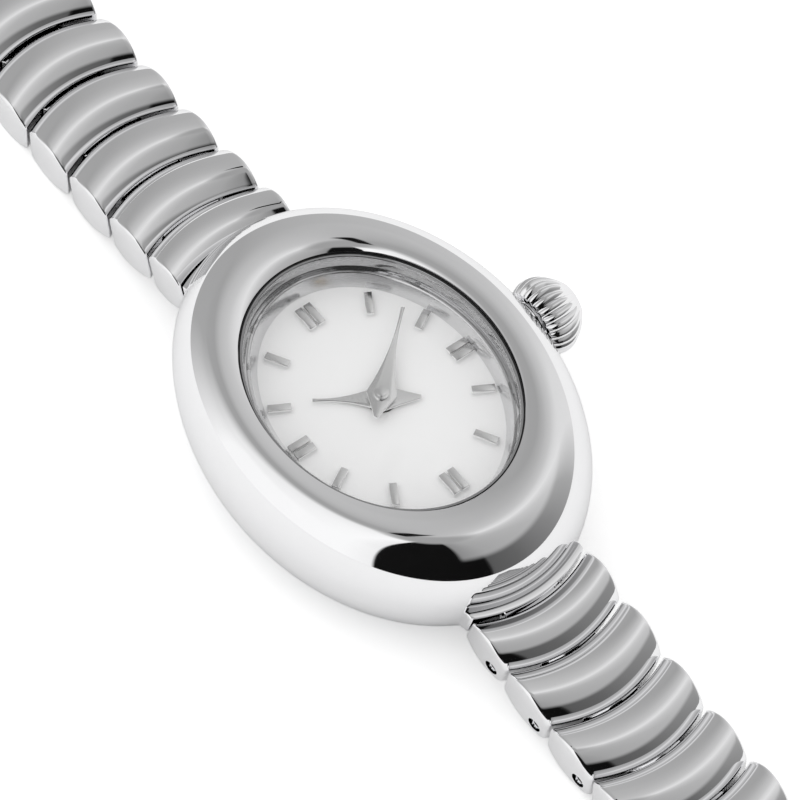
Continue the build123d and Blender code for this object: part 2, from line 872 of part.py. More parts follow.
with BuildPart() as minute_wheel:
    pinion_foot = minute_wheel_height + minute_wheel_thickness
    pinion_head = pinion_foot + minute_pinion_length
    toothed_disc(
        minute_wheel_teeth,
        motion_module,
        minute_wheel_height,
        pinion_foot,
        minute_wheel_place,
        gap_bearing(minute_wheel_teeth, minute_wheel_bearing - half_turn),
    )
    toothed_disc(
        minute_pinion_teeth,
        motion_module,
        pinion_foot,
        pinion_head,
        minute_wheel_place,
        minute_wheel_bearing - half_turn,
    )
    disc(
        minute_post_radius + pin_running_gap,
        minute_wheel_height,
        pinion_head,
        minute_wheel_place,
        Mode.SUBTRACT,
    )
minute_wheel.part.label = "minute_wheel"
export_step(minute_wheel.part, "parts/minute_wheel.step")

with BuildPart() as hour_wheel:
    toothed_disc(
        hour_wheel_teeth,
        motion_module,
        hour_wheel_height,
        hour_wheel_height + hour_wheel_thickness,
        tooth_at=gap_bearing(hour_wheel_teeth, minute_wheel_bearing),
    )
    disc(hour_pipe_radius, hour_wheel_height, hour_hand_height)
    disc(hour_pipe_bore, hour_wheel_height, hour_hand_height, mode=Mode.SUBTRACT)
hour_wheel.part.label = "hour_wheel"
export_step(hour_wheel.part, "parts/hour_wheel.step")

# Going train: third wheel and rotor, on pivots in the bridge and the main plate
with BuildPart() as third_wheel:
    disc(pivot_radius, pivot_foot_height, pivot_head_height, third_wheel_place)
    toothed_disc(
        third_wheel_teeth,
        train_module,
        third_wheel_height,
        third_wheel_height + train_wheel_thickness,
        third_wheel_place,
        rotor_bearing,
    )
    toothed_disc(
        third_pinion_teeth,
        train_module,
        third_wheel_height + train_wheel_thickness,
        third_pinion_head,
        third_wheel_place,
        gap_bearing(third_pinion_teeth, third_wheel_bearing - half_turn),
    )
third_wheel.part.label = "third_wheel"
export_step(third_wheel.part, "parts/third_wheel.step")

with BuildPart() as rotor:
    disc(pivot_radius, pivot_foot_height, pivot_head_height, rotor_place)
    toothed_disc(
        rotor_pinion_teeth,
        train_module,
        rotor_pinion_foot,
        rotor_pinion_foot + rotor_pinion_length,
        rotor_place,
        gap_bearing(rotor_pinion_teeth, rotor_bearing - half_turn),
    )
    disc(
        rotor_magnet_radius,
        rotor_magnet_height,
        rotor_magnet_height + rotor_magnet_thickness,
        rotor_place,
    )
rotor.part.label = "rotor"
export_step(rotor.part, "parts/rotor.step")

# Main plate: pockets for the wheels, posts under it, and the stem's channel
setting_tip_radius = motion_module * (setting_pinion_teeth / 2 + tooth_rise_share)
wheel_tip_radius = motion_module * (minute_wheel_teeth / 2 + tooth_rise_share)
hour_tip_radius = motion_module * (hour_wheel_teeth / 2 + tooth_rise_share)

with BuildPart() as main_plate:
    with BuildSketch(Plane.XY.offset(plate_foot_height)):
        RectangleRounded(2 * movement_half_width, 2 * movement_half_length, movement_corner)
    extrude(amount=plate_head_height - plate_foot_height)
    for pocket_radius, pocket_place in (
        (hour_tip_radius + motion_pocket_gap, (0, 0)),
        (wheel_tip_radius + motion_pocket_gap, minute_wheel_place),
    ):
        disc(pocket_radius, motion_pocket_floor, plate_head_height, pocket_place, Mode.SUBTRACT)
    disc(
        minute_shoulder_radius,
        motion_pocket_floor,
        minute_wheel_height - running_gap,
        minute_wheel_place,
    )
    disc(minute_post_radius, motion_pocket_floor, plate_head_height, minute_wheel_place)
    disc(
        arbor_radius + running_gap,
        plate_foot_height,
        motion_pocket_floor,
        mode=Mode.SUBTRACT,
    )
    for pivot_place in (third_wheel_place, rotor_place):
        disc(
            pivot_radius + pin_running_gap,
            plate_foot_height,
            pivot_head_height + running_gap,
            pivot_place,
            Mode.SUBTRACT,
        )
    for places, seat, post_radius, post_foot in screw_groups:
        for place in places:
            disc(post_radius, post_foot, plate_foot_height, place)
            disc(
                screw_radius + slip_fit,
                post_foot,
                seat + screw_grip + slip_fit,
                place,
                Mode.SUBTRACT,
            )
    cross_rod(
        stem_radius + stem_channel_gap,
        stem_inner_end - running_gap,
        movement_half_width,
        crown_axis_height,
        mode=Mode.SUBTRACT,
    )
    cross_rod(
        setting_tip_radius + setting_pocket_gap,
        setting_pinion_place - running_gap,
        setting_pinion_place + setting_pinion_length + running_gap,
        crown_axis_height,
        mode=Mode.SUBTRACT,
    )
main_plate.part.label = "main_plate"
export_step(main_plate.part, "parts/main_plate.step")

with BuildPart() as train_bridge:
    with BuildSketch(Plane.XY.offset(bridge_height)):
        with BuildLine():
            Polyline(*bridge_posts, close=True)
        make_face()
        offset(amount=bridge_margin)
        with Locations(*bridge_posts):
            Circle(screw_radius + slip_fit, mode=Mode.SUBTRACT)
    extrude(amount=bridge_thickness)
    for pivot_place in ((0, 0), third_wheel_place, rotor_place):
        disc(
            pivot_radius + pin_running_gap,
            bridge_height,
            bridge_height + bridge_thickness,
            pivot_place,
            Mode.SUBTRACT,
        )
train_bridge.part.label = "train_bridge"
export_step(train_bridge.part, "parts/train_bridge.step")

# The slotted screws that hold bridge, coil, board and clamp, all of one kind
with BuildPart() as movement_screws:
    for places, seat, post_radius, post_foot in screw_groups:
        for place in places:
            disc(screw_head_radius, seat - screw_head_height, seat, place)
            disc(screw_radius, seat, seat + screw_grip, place)
            with BuildSketch(up_plane(seat - screw_head_height, place)):
                Rectangle(2 * screw_head_radius, screw_slot_width)
            extrude(amount=screw_slot_depth, mode=Mode.SUBTRACT)
movement_screws.part.label = "movement_screws"
export_step(movement_screws.part, "parts/movement_screws.step")

# Motor: stator plate round the rotor, and the coil on its core across the stator's legs
with BuildPart() as stator:
    with BuildSketch(Plane.XY.offset(stator_height)):
        with Locations((0, (stator_near + stator_far) / 2)):
            Rectangle(2 * stator_half_width, stator_near - stator_far)
        for leg in (-1, 1):
            with Locations(
                (leg * (stator_half_width - stator_leg_width / 2), (stator_near + stator_foot) / 2)
            ):
                Rectangle(stator_leg_width, stator_near - stator_foot)
        with Locations(rotor_place):
            Circle(stator_eye_radius)
            Circle(stator_eye_bore, mode=Mode.SUBTRACT)
        with Locations(*coil_posts):
            Circle(screw_radius + slip_fit, mode=Mode.SUBTRACT)
    extrude(amount=stator_thickness)
stator.part.label = "stator"
export_step(stator.part, "parts/stator.step")

with BuildPart() as coil:
    with BuildSketch(Plane.XY.offset(coil_core_height)):
        with Locations((0, coil_axis_y)):
            Rectangle(2 * stator_half_width, stator_leg_width)
        with Locations(*coil_posts):
            Circle(screw_radius + slip_fit, mode=Mode.SUBTRACT)
    extrude(amount=coil_core_thickness)
    cross_rod(coil_radius, -coil_half_length, coil_half_length, coil_axis_height, coil_axis_y)
coil.part.label = "coil"
export_step(coil.part, "parts/coil.step")

# Circuit board with its chip, and the quartz crystal in its can
with BuildPart() as circuit_board:
    with BuildSketch(Plane.XY.offset(board_height)):
        with Locations(((board_left + board_right) / 2, (board_bottom + board_top) / 2)):
            RectangleRounded(board_right - board_left, board_top - board_bottom, board_corner)
        with Locations(*board_posts):
            Circle(screw_radius + slip_fit, mode=Mode.SUBTRACT)
    extrude(amount=board_thickness)
    with BuildSketch(up_plane(board_height - chip_thickness, chip_place)):
        Rectangle(chip_side, chip_side)
    extrude(amount=chip_thickness)
circuit_board.part.label = "circuit_board"
export_step(circuit_board.part, "parts/circuit_board.step")

with BuildPart() as quartz_crystal:
    can_plane = Plane(
        origin=(can_place[0], can_place[1], board_height - can_radius),
        x_dir=(1, 0, 0),
        z_dir=(0, 1, 0),
    )
    with BuildSketch(can_plane):
        Circle(can_radius)
    extrude(amount=can_length / 2, both=True)
quartz_crystal.part.label = "quartz_crystal"
export_step(quartz_crystal.part, "parts/quartz_crystal.step")

# Button battery, cap side down, and the strip that holds it against the plate
with BuildPart() as battery:
    disc(battery_radius, battery_foot + battery_cap_thickness, battery_head, battery_place)
    disc(battery_radius - battery_cap_step, battery_foot, battery_head, battery_place)
battery.part.label = "battery"
export_step(battery.part, "parts/battery.step")

with BuildPart() as battery_clamp:
    with BuildSketch(up_plane(clamp_height, clamp_post)):
        with Locations((-clamp_reach / 2, 0)):
            Rectangle(clamp_reach, clamp_width)
        Circle(clamp_width / 2)
        Circle(screw_radius + slip_fit, mode=Mode.SUBTRACT)
    extrude(amount=clamp_thickness)
battery_clamp.part.label = "battery_clamp"
export_step(battery_clamp.part, "parts/battery_clamp.step")

# Plastic holder between the movement and the case
with BuildPart() as movement_holder:
    oval_prism(holder_half_width, holder_half_length, holder_foot_height, plate_head_height)
    with BuildSketch(Plane.XY.offset(holder_foot_height)):
        RectangleRounded(
            2 * (movement_half_width + holder_wall_gap),
            2 * (movement_half_length + holder_wall_gap),
            movement_corner + holder_wall_gap,
        )
    extrude(amount=plate_head_height - holder_foot_height, mode=Mode.SUBTRACT)
    cross_rod(
        tube_bore,
        movement_half_width - holder_wall_gap,
        cavity_half_width,
        crown_axis_height,
        mode=Mode.SUBTRACT,
    )
movement_holder.part.label = "movement_holder"
export_step(movement_holder.part, "parts/movement_holder.step")

# Crown, tube, gasket, stem and the pinion that the stem turns
with BuildPart() as crown_tube:
    cross_rod(tube_radius, tube_inner_end, tube_outer_end, crown_axis_height)
    cross_rod(
        tube_flange_radius,
        tube_flange_seat,
        tube_flange_seat + tube_flange_thickness,
        crown_axis_height,
    )
    cross_rod(tube_bore, tube_inner_end, tube_outer_end, crown_axis_height, mode=Mode.SUBTRACT)
crown_tube.part.label = "crown_tube"
export_step(crown_tube.part, "parts/crown_tube.step")


def ribbed_face(radius, start):
    """Round face at a distance out along the crown, its edge a ring of outward arcs."""
    with BuildSketch(along_x(start, crown_axis_height)) as face:
        with BuildLine():
            for rib in range(crown_rib_count):
                ThreePointArc(
                    on_bearing(crown_valley_share * radius, full_turn * rib / crown_rib_count),
                    on_bearing(radius, full_turn * (rib + 1 / 2) / crown_rib_count),
                    on_bearing(crown_valley_share * radius, full_turn * (rib + 1) / crown_rib_count),
                )
        make_face()
    return face.sketch


with BuildPart() as crown:
    loft(
        [
            ribbed_face(crown_base_radius, crown_start),
            ribbed_face(crown_radius, crown_start + crown_widest_share * crown_length),
            ribbed_face(crown_face_radius, crown_start + crown_length),
        ]
    )
    cross_rod(
        crown_recess_radius,
        crown_start,
        crown_start + crown_recess_depth,
        crown_axis_height,
        mode=Mode.SUBTRACT,
    )
    cross_rod(
        stem_radius + slip_fit,
        crown_start,
        stem_outer_end,
        crown_axis_height,
        mode=Mode.SUBTRACT,
    )
crown.part.label = "crown"
export_step(crown.part, "parts/crown.step")

with BuildPart() as crown_gasket:
    gasket_end = crown_gasket_place + crown_gasket_width
    cross_rod(crown_recess_radius - slip_fit, crown_gasket_place, gasket_end, crown_axis_height)
    cross_rod(
        tube_radius + pin_running_gap,
        crown_gasket_place,
        gasket_end,
        crown_axis_height,
        mode=Mode.SUBTRACT,
    )
crown_gasket.part.label = "crown_gasket"
export_step(crown_gasket.part, "parts/crown_gasket.step")

with BuildPart() as stem:
    cross_rod(stem_radius, stem_square_end, stem_outer_end, crown_axis_height)
    with BuildSketch(along_x(stem_inner_end, crown_axis_height)):
        Rectangle(stem_square_side, stem_square_side)
    extrude(amount=stem_square_end - stem_inner_end)
stem.part.label = "stem"
export_step(stem.part, "parts/stem.step")

with BuildPart() as setting_pinion:
    extrude(
        toothed_face(
            setting_pinion_teeth, motion_module, along_x(setting_pinion_place, crown_axis_height)
        ),
        amount=setting_pinion_length,
    )
    with BuildSketch(along_x(setting_pinion_place, crown_axis_height)):
        Rectangle(stem_square_side + 2 * pin_running_gap, stem_square_side + 2 * pin_running_gap)
    extrude(amount=setting_pinion_length, mode=Mode.SUBTRACT)
setting_pinion.part.label = "setting_pinion"
export_step(setting_pinion.part, "parts/setting_pinion.step")

# Case back: a shallow dish with a register ring, and the gasket round the ring
rim_half_length = case_half_length - case_lower_draw_in - back_edge_gap
gasket_half_width = cavity_half_width - slip_fit
gasket_half_length = cavity_half_length - slip_fit

with BuildPart() as case_back:
    with BuildSketch(Plane.XY):
        Ellipse(back_flat_half_width, back_flat_half_length)
    with BuildSketch(Plane.XY.offset(case_rim_height)):
        Ellipse(plan_ratio * rim_half_length, rim_half_length)
    loft()
    oval_prism(holder_half_width, holder_half_length, case_rim_height, back_register_head)
    oval_prism(
        holder_half_width - back_register_wall,
        holder_half_length - back_register_wall,
        back_thickness,
        back_register_head,
        Mode.SUBTRACT,
    )
    groove_foot = back_gasket_foot - slip_fit
    groove_head = back_gasket_foot + back_gasket_size + slip_fit
    with BuildSketch(Plane.XY.offset(groove_foot)):
        Ellipse(cavity_half_width, cavity_half_length)
        Ellipse(
            gasket_half_width - back_gasket_size - slip_fit,
            gasket_half_length - back_gasket_size - slip_fit,
            mode=Mode.SUBTRACT,
        )
    extrude(amount=groove_head - groove_foot, mode=Mode.SUBTRACT)
case_back.part.label = "case_back"
export_step(case_back.part, "parts/case_back.step")

with BuildPart() as case_back_gasket:
    gasket_top = back_gasket_foot + back_gasket_size
    oval_prism(gasket_half_width, gasket_half_length, back_gasket_foot, gasket_top)
    oval_prism(
        gasket_half_width - back_gasket_size,
        gasket_half_length - back_gasket_size,
        back_gasket_foot,
        gasket_top,
        Mode.SUBTRACT,
    )
case_back_gasket.part.label = "case_back_gasket"
export_step(case_back_gasket.part, "parts/case_back_gasket.step")

# Bracelet: each link holds the pin of its far hinge
for side, side_name in ((1, "12"), (-1, "6")):
    for index in range(links_each_side):
        hinge = bracelet_hinges[index]
        pitch = hinge[3]
        near = link_near_wall if index else first_near_wall
        rise = link_crown_rise if index else first_link_crown_rise
        with BuildPart() as link:
            link_body(side, hinge, near, pitch + link_overhang, rise)
            hinge_slot(side, hinge, pitch)
            link_tongue(side, hinge, near)
            hinge_pin(side, hinge, pitch)
        node_name = f"link_{side_name}_{index + 1:02d}"
        link.part.label = node_name
        export_step(link.part, f"parts/{node_name}.step")

# Clasp: the cover is a long hollow link, and the blade folds up inside it
cover_end = link_near_wall + cover_length
blade_pivot = cover_end - blade_pivot_inset
hook_place = link_near_wall + cover_end_wall + blade_hook_gap + hook_radius

with BuildPart() as clasp_cover:
    link_body(1, clasp_hinge, link_near_wall, cover_end, cover_crown_rise)
    bracelet_box(
        1,
        clasp_hinge,
        link_near_wall + cover_end_wall,
        cover_end + overrun,
        -overrun,
        link_edge_rise + link_dome - cover_hollow_drop,
        link_half_width - cover_wall,
        Mode.SUBTRACT,
    )
    link_tongue(1, clasp_hinge, link_near_wall)
    bracelet_rod(
        1,
        clasp_hinge,
        blade_pivot,
        pin_radius + slip_fit,
        pin_blind_wall - link_half_width,
        link_half_width + overrun,
        Mode.SUBTRACT,
    )
    hinge_pin(1, clasp_hinge, blade_pivot)
clasp_cover.part.label = "clasp_cover"
export_step(clasp_cover.part, "parts/clasp_cover.step")

with BuildPart() as clasp_blade:
    bracelet_box(
        1,
        clasp_hinge,
        hook_place,
        blade_pivot,
        -blade_thickness / 2,
        blade_thickness / 2,
        blade_half_width,
    )
    window_middle = (hook_place + blade_pivot) / 2
    bracelet_box(
        1,
        clasp_hinge,
        window_middle - blade_window_length / 2,
        window_middle + blade_window_length / 2,
        -blade_thickness,
        blade_thickness,
        blade_window_half_width,
        Mode.SUBTRACT,
    )
    bracelet_rod(1, clasp_hinge, blade_pivot, knuckle_radius, -blade_half_width, blade_half_width)
    bracelet_rod(
        1,
        clasp_hinge,
        blade_pivot,
        pin_radius + pin_running_gap,
        -blade_half_width,
        blade_half_width,
        Mode.SUBTRACT,
    )
    bracelet_rod(1, clasp_hinge, hook_place, hook_radius, -blade_half_width, blade_half_width)
    bracelet_rod(
        1, clasp_hinge, hook_place, hook_bore, -blade_half_width, blade_half_width, Mode.SUBTRACT
    )
    bracelet_box(
        1,
        clasp_hinge,
        hook_place - hook_mouth / 2,
        hook_place + hook_mouth / 2,
        -hook_radius,
        0,
        blade_half_width,
        Mode.SUBTRACT,
    )
clasp_blade.part.label = "clasp_blade"
export_step(clasp_blade.part, "parts/clasp_blade.step")

with BuildPart() as clasp_bar_piece:
    bar_end = link_near_wall + bar_piece_length
    link_body(-1, clasp_hinge, link_near_wall, bar_end, link_crown_rise)
    bracelet_box(
        -1,
        clasp_hinge,
        bar_end - bar_window_length,
        bar_end + overrun,
        -overrun,
        2 * overrun,
        link_half_width - bar_arm_width,
        Mode.SUBTRACT,
    )
    bracelet_rod(
        -1,
        clasp_hinge,
        bar_end - bar_inset,
        bar_radius,
        bar_arm_width / 2 - link_half_width,
        link_half_width - bar_arm_width / 2,
    )
    link_tongue(-1, clasp_hinge, link_near_wall)
clasp_bar_piece.part.label = "clasp_bar_piece"
export_step(clasp_bar_piece.part, "parts/clasp_bar_piece.step")
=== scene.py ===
"""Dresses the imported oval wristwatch: polished steel case and links, bare white dial, satin hands.

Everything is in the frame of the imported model. Sizes are in millimetres, and are turned to
metres when a mesh or a texture is made.
"""

import logging
import math
from dataclasses import dataclass
from enum import Enum

import bmesh
import bpy
import numpy as np
from mathutils import Matrix, Vector


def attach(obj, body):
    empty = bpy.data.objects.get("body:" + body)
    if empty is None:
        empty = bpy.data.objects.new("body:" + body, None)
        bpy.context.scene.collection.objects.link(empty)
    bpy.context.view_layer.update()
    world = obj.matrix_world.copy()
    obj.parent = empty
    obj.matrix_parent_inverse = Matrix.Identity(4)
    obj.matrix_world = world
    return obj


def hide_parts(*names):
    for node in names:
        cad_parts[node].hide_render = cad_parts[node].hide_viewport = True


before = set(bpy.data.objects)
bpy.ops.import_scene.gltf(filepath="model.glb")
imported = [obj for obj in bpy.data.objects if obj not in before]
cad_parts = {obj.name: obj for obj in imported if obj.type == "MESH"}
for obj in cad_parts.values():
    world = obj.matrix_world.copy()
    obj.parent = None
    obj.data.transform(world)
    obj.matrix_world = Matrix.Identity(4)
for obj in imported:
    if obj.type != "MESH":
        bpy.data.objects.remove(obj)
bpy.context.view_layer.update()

log = logging.getLogger("oval_watch")

Pair = tuple[float, float]
Triple = tuple[float, float, float]
Feed = bpy.types.Node | bpy.types.NodeSocket

MM = 0.001
SHARP_ANGLE = math.radians(38.0)
MERGE_DISTANCE = 0.0004
# How far a cutter reaches past what it cuts
CUT_PAST = 3.0
# Points round a rod or a hole
ROUND_STEPS = 48
# Widest soft corner of a rod, and where its middle point lies, as a share of the corner
ROD_CORNER = 0.05
CORNER_MIDDLE = 0.3
# Where the middle point of a plate's bevel lies, as shares of the bevel in and down
BEVEL_MIDDLE = (0.4, 0.3)
# Least cosine that the shift of a corner is divided by, so that a sharp corner stays near
MITRE_LIMIT = 0.4
HOURS = 12
FULL_TURN = 360
# Reach from the centre and height of the bracelet's first hinge, the same on both sides
FIRST_HINGE = (13.23, 3.72)


class Side(Enum):
    """End of the case that a run of bracelet starts from; the value is its hour in names."""

    TWELVE = "12"
    SIX = "6"


class Solid(Enum):
    """How one solid changes another."""

    TAKE_AWAY = "DIFFERENCE"
    JOIN = "UNION"


# Finishes


def linear(hex_colour: str) -> tuple[float, float, float, float]:
    """Turns a colour as people write it into the linear light that shaders work in.

    Args:
        hex_colour: sRGB colour such as "#E9E9EA".

    Returns:
        Linear red, green, blue and an alpha of one.
    """
    channels = [int(hex_colour[i : i + 2], 16) / 255 for i in (1, 3, 5)]
    red, green, blue = [
        c / 12.92 if c <= 0.04045 else ((c + 0.055) / 1.055) ** 2.4 for c in channels
    ]
    return (red, green, blue, 1.0)


def bare_tree(owner: bpy.types.Material | bpy.types.World) -> bpy.types.NodeTree:
    """Gives a material or a world a node tree with nothing in it.

    Args:
        owner: The material or world.

    Returns:
        Its empty node tree.
    """
    owner.use_nodes = True
    owner.node_tree.nodes.clear()
    return owner.node_tree


def add_node(
    tree: bpy.types.NodeTree, kind: str, inputs: dict | None = None, **settings: object
) -> bpy.types.Node:
    """Adds one shader node with its settings, values and links.

    Args:
        tree: The node tree that gets the node.
        kind: Blender's type name of the node, without the "ShaderNode" that it starts with.
        inputs: For each named or numbered input its value, the socket that feeds it, or the
            node whose first live output feeds it.
        **settings: Plain attributes of the node.

    Returns:
        The new node.
    """
    node = tree.nodes.new(f"ShaderNode{kind}")
    for name, value in settings.items():
        setattr(node, name, value)
    for name, value in (inputs or {}).items():
        if isinstance(value, bpy.types.Node):
            value = next(socket for socket in value.outputs if socket.enabled)
        if isinstance(value, bpy.types.NodeSocket):
            tree.links.new(value, node.inputs[name])
        else:
            node.inputs[name].default_value = value
    return node


def per_metre(size_mm: float) -> float:
    """Scale of a texture whose repeat is a real size in millimetres."""
    return 1 / (size_mm * MM)


@dataclass(frozen=True)
class Finish:
    """A surface finish: a shader whose roughness and bump come from a fine real pattern.

    grain_mm is the size of the pattern, stretch how much longer it is along Y than across,
    mottle the spread of the roughness, and bump_mm the height of the grain. detail and
    fineness shape the pattern, whose values mostly lie within span.
    """

    name: str
    colour: str
    shade: str
    metallic: float
    roughness: float
    mottle: float
    grain_mm: float
    bump_mm: float
    stretch: float = 1.0
    ior: float = 1.5
    detail: float = 3.0
    fineness: float = 0.6
    span: Pair = (0.3, 0.7)

    def material(self) -> bpy.types.Material:
        """Makes the material once and returns it after that."""
        if self.name not in bpy.data.materials:
            self.wire(bare_tree(bpy.data.materials.new(self.name)))
        return bpy.data.materials[self.name]

    def wire(self, tree: bpy.types.NodeTree) -> None:
        """Builds the shader.

        Args:
            tree: An empty node tree.
        """
        place = add_node(tree, "TexCoord").outputs["Object"]
        spread = add_node(
            tree, "Mapping", {"Vector": place, "Scale": (1.0, 1 / self.stretch, 1.0)}
        )
        grain = add_node(
            tree,
            "TexNoise",
            {
                "Vector": spread,
                "Scale": per_metre(self.grain_mm),
                "Detail": self.detail,
                "Roughness": self.fineness,
            },
        )
        tone = add_node(
            tree,
            "Mix",
            {"Factor": grain, "A": linear(self.colour), "B": linear(self.shade)},
            data_type="RGBA",
        )
        rough = add_node(
            tree,
            "MapRange",
            {
                "Value": grain,
                "From Min": self.span[0],
                "From Max": self.span[1],
                "To Min": self.roughness - self.mottle,
                "To Max": self.roughness + self.mottle,
            },
        )
        relief = add_node(
            tree, "Bump", {"Height": grain, "Distance": self.bump_mm * MM, "Strength": 1.0}
        )
        inputs = {
            "Base Color": tone,
            "Metallic": self.metallic,
            "Roughness": rough,
            "Normal": relief,
        }
        if self.metallic < 1:
            inputs["IOR"] = self.ior
        surface = add_node(tree, "BsdfPrincipled", inputs)
        add_node(tree, "OutputMaterial", {"Surface": surface})


@dataclass(frozen=True)
class Crystal(Finish):
    """Mineral glass, drawn thin: it reflects as glass does and doesn't shift what lies under it."""

    def wire(self, tree: bpy.types.NodeTree) -> None:
        """Mixes clear and glossy by the glass's own reflectance, on its outer faces only.

        Args:
            tree: An empty node tree.
        """
        fresnel = add_node(tree, "Fresnel", {"IOR": self.ior})
        back = add_node(tree, "NewGeometry").outputs["Backfacing"]
        front = add_node(tree, "Math", {0: 1.0, 1: back}, operation="SUBTRACT")
        share = add_node(tree, "Math", {0: fresnel, 1: front}, operation="MULTIPLY")
        clear = add_node(tree, "BsdfTransparent", {"Color": linear(self.colour)})
        place = add_node(tree, "TexCoord").outputs["Object"]
        smear = add_node(tree, "TexNoise", {"Vector": place, "Scale": per_metre(self.grain_mm)})
        rough = add_node(
            tree,
            "MapRange",
            {"Value": smear, "To Min": self.roughness, "To Max": self.roughness + self.mottle},
        )
        gloss = add_node(tree, "BsdfGlossy", {"Color": linear(self.shade), "Roughness": rough})
        both = add_node(tree, "MixShader", {0: share, 1: clear, 2: gloss})
        add_node(tree, "OutputMaterial", {"Surface": both})


# Stainless steel, mirror polished on a felt wheel: crisp reflections, hairlines too fine to see
POLISHED_STEEL = Finish(
    "steel_mirror_polished", "#FBFBFC", "#F8F8F9", 1.0, 0.03, 0.01, 0.9, 0.00002
)
# Stainless steel, turned on a lathe: softer reflections with fine cutter marks
TURNED_STEEL = Finish("steel_turned", "#C9CACC", "#B4B5B8", 1.0, 0.22, 0.06, 0.12, 0.0006)
# Stainless steel, turned and finely satined: pale, with soft reflections
RING_STEEL = Finish("steel_satin_ring", "#E6E6E7", "#DADADB", 1.0, 0.15, 0.03, 0.1, 0.0001)
# Nickel plating on hands and hour bars, finely satined lengthways: soft grey sheen
SATIN_NICKEL = Finish("nickel_satin", "#FAFAFA", "#EEEEEE", 1.0, 0.2, 0.04, 0.05, 0.0002, 6.0)
# Matt white lacquer sprayed on a brass dial: even, with a faint orange peel
DIAL_LACQUER = Finish("lacquer_matt_white", "#FAFAFA", "#F8F8F8", 0.0, 0.55, 0.05, 0.06, 0.0006)
# Nitrile rubber, moulded: black with a dull grey sheen
NITRILE = Finish("rubber_nitrile", "#1B1B1C", "#232324", 0.0, 0.5, 0.08, 0.08, 0.002)
# Edge of the glass, seen through its top: it shines like a dull mirror by total reflection
GLASS_EDGE = Finish("glass_edge_shining", "#BDBDBE", "#A2A2A3", 1.0, 0.08, 0.03, 0.4, 0.0008)
# Mineral glass with polished faces: clear, with a faint smear in its gloss
MINERAL_GLASS = Crystal("glass_mineral", "#FEFEFE", "#FFFFFF", 0.0, 0.01, 0.015, 3.0, 0.0)
# Brass plate, nickel plated and frosted: pale warm grey with a fine grain
NICKEL_BRASS = Finish("brass_nickel_plated", "#C9C3B4", "#B8B2A4", 1.0, 0.3, 0.07, 0.08, 0.0008)
# Wheels cut from brass sheet and polished: yellow, fairly bright
WHEEL_BRASS = Finish("brass_cut", "#D9B566", "#C9A255", 1.0, 0.2, 0.06, 0.06, 0.0005)
# Enamelled copper wire, wound: red brown, broken up as finely as its turns
COPPER_WINDING = Finish("copper_enamelled", "#B4603A", "#8C4526", 0.8, 0.32, 0.08, 0.05, 0.004)
# Glass and resin board with green solder mask: smooth, slightly mottled by the weave
BOARD_RESIN = Finish("board_green_mask", "#1F5A34", "#2A6B40", 0.0, 0.35, 0.08, 0.3, 0.0015)
# Drawn steel can, tumbled: even grey with soft marks
DRAWN_STEEL = Finish("steel_drawn", "#C4C4C6", "#AEAEB1", 1.0, 0.28, 0.08, 0.25, 0.001)
# Acetal, moulded: off-white, waxy, with faint flow marks
ACETAL = Finish("acetal_moulded", "#DCDAD2", "#D3D1C8", 0.0, 0.42, 0.06, 0.5, 0.0015)

NODE_FINISHES = {
    POLISHED_STEEL: ("lug_pins", "crown_tube"),
    TURNED_STEEL: (
        "case_back",
        "rotor",
        "setting_pinion",
        "stem",
        "movement_screws",
        "stator",
        "battery_clamp",
    ),
    NITRILE: ("case_back_gasket", "crown_gasket"),
    DIAL_LACQUER: ("dial",),
    NICKEL_BRASS: ("main_plate", "train_bridge", "hour_wheel"),
    WHEEL_BRASS: ("centre_wheel", "minute_wheel", "third_wheel"),
    COPPER_WINDING: ("coil",),
    BOARD_RESIN: ("circuit_board",),
    DRAWN_STEEL: ("quartz_crystal", "battery"),
    ACETAL: ("movement_holder",),
}


# Outlines


def arc(centre: Pair, radii: Pair, start: float, end: float, count: int) -> np.ndarray:
    """Points along part of an ellipse.

    Args:
        centre: Centre of the ellipse.
        radii: Half sizes across and up.
        start: First angle in degrees.
        end: Last angle in degrees.
        count: Number of points.

    Returns:
        The points, count by two.
    """
    angle = np.radians(np.linspace(start, end, count))
    return np.array(centre) + np.array(radii) * np.column_stack([np.cos(angle), np.sin(angle)])


def oval(half_width: float, half_length: float, count: int) -> np.ndarray:
    """Points all round an ellipse with these half sizes, count by two."""
    turn = np.linspace(0, 2 * np.pi, count, endpoint=False)
    return np.column_stack([half_width * np.cos(turn), half_length * np.sin(turn)])


def three_point_arc(start: Pair, middle: Pair, end: Pair, count: int) -> np.ndarray:
    """Points along the circle that passes through three points.

    Args:
        start: First point.
        middle: Point on the way.
        end: Last point.
        count: Number of points.

    Returns:
        The points, count by two.
    """
    (ax, ay), (bx, by), (cx, cy) = start, middle, end
    d = 2 * (ax * (by - cy) + bx * (cy - ay) + cx * (ay - by))
    a2, b2, c2 = ax * ax + ay * ay, bx * bx + by * by, cx * cx + cy * cy
    ux = (a2 * (by - cy) + b2 * (cy - ay) + c2 * (ay - by)) / d
    uy = (a2 * (cx - bx) + b2 * (ax - cx) + c2 * (bx - ax)) / d
    first = math.atan2(ay - uy, ax - ux)
    way, last = [
        (math.atan2(y - uy, x - ux) - first + math.pi) % (2 * math.pi) - math.pi
        for x, y in (middle, end)
    ]
    if way * last < 0:
        last -= math.copysign(2 * math.pi, last)
    angle = first + np.linspace(0, last, count)
    radius = math.hypot(ax - ux, ay - uy)
    return np.column_stack([ux + radius * np.cos(angle), uy + radius * np.sin(angle)])


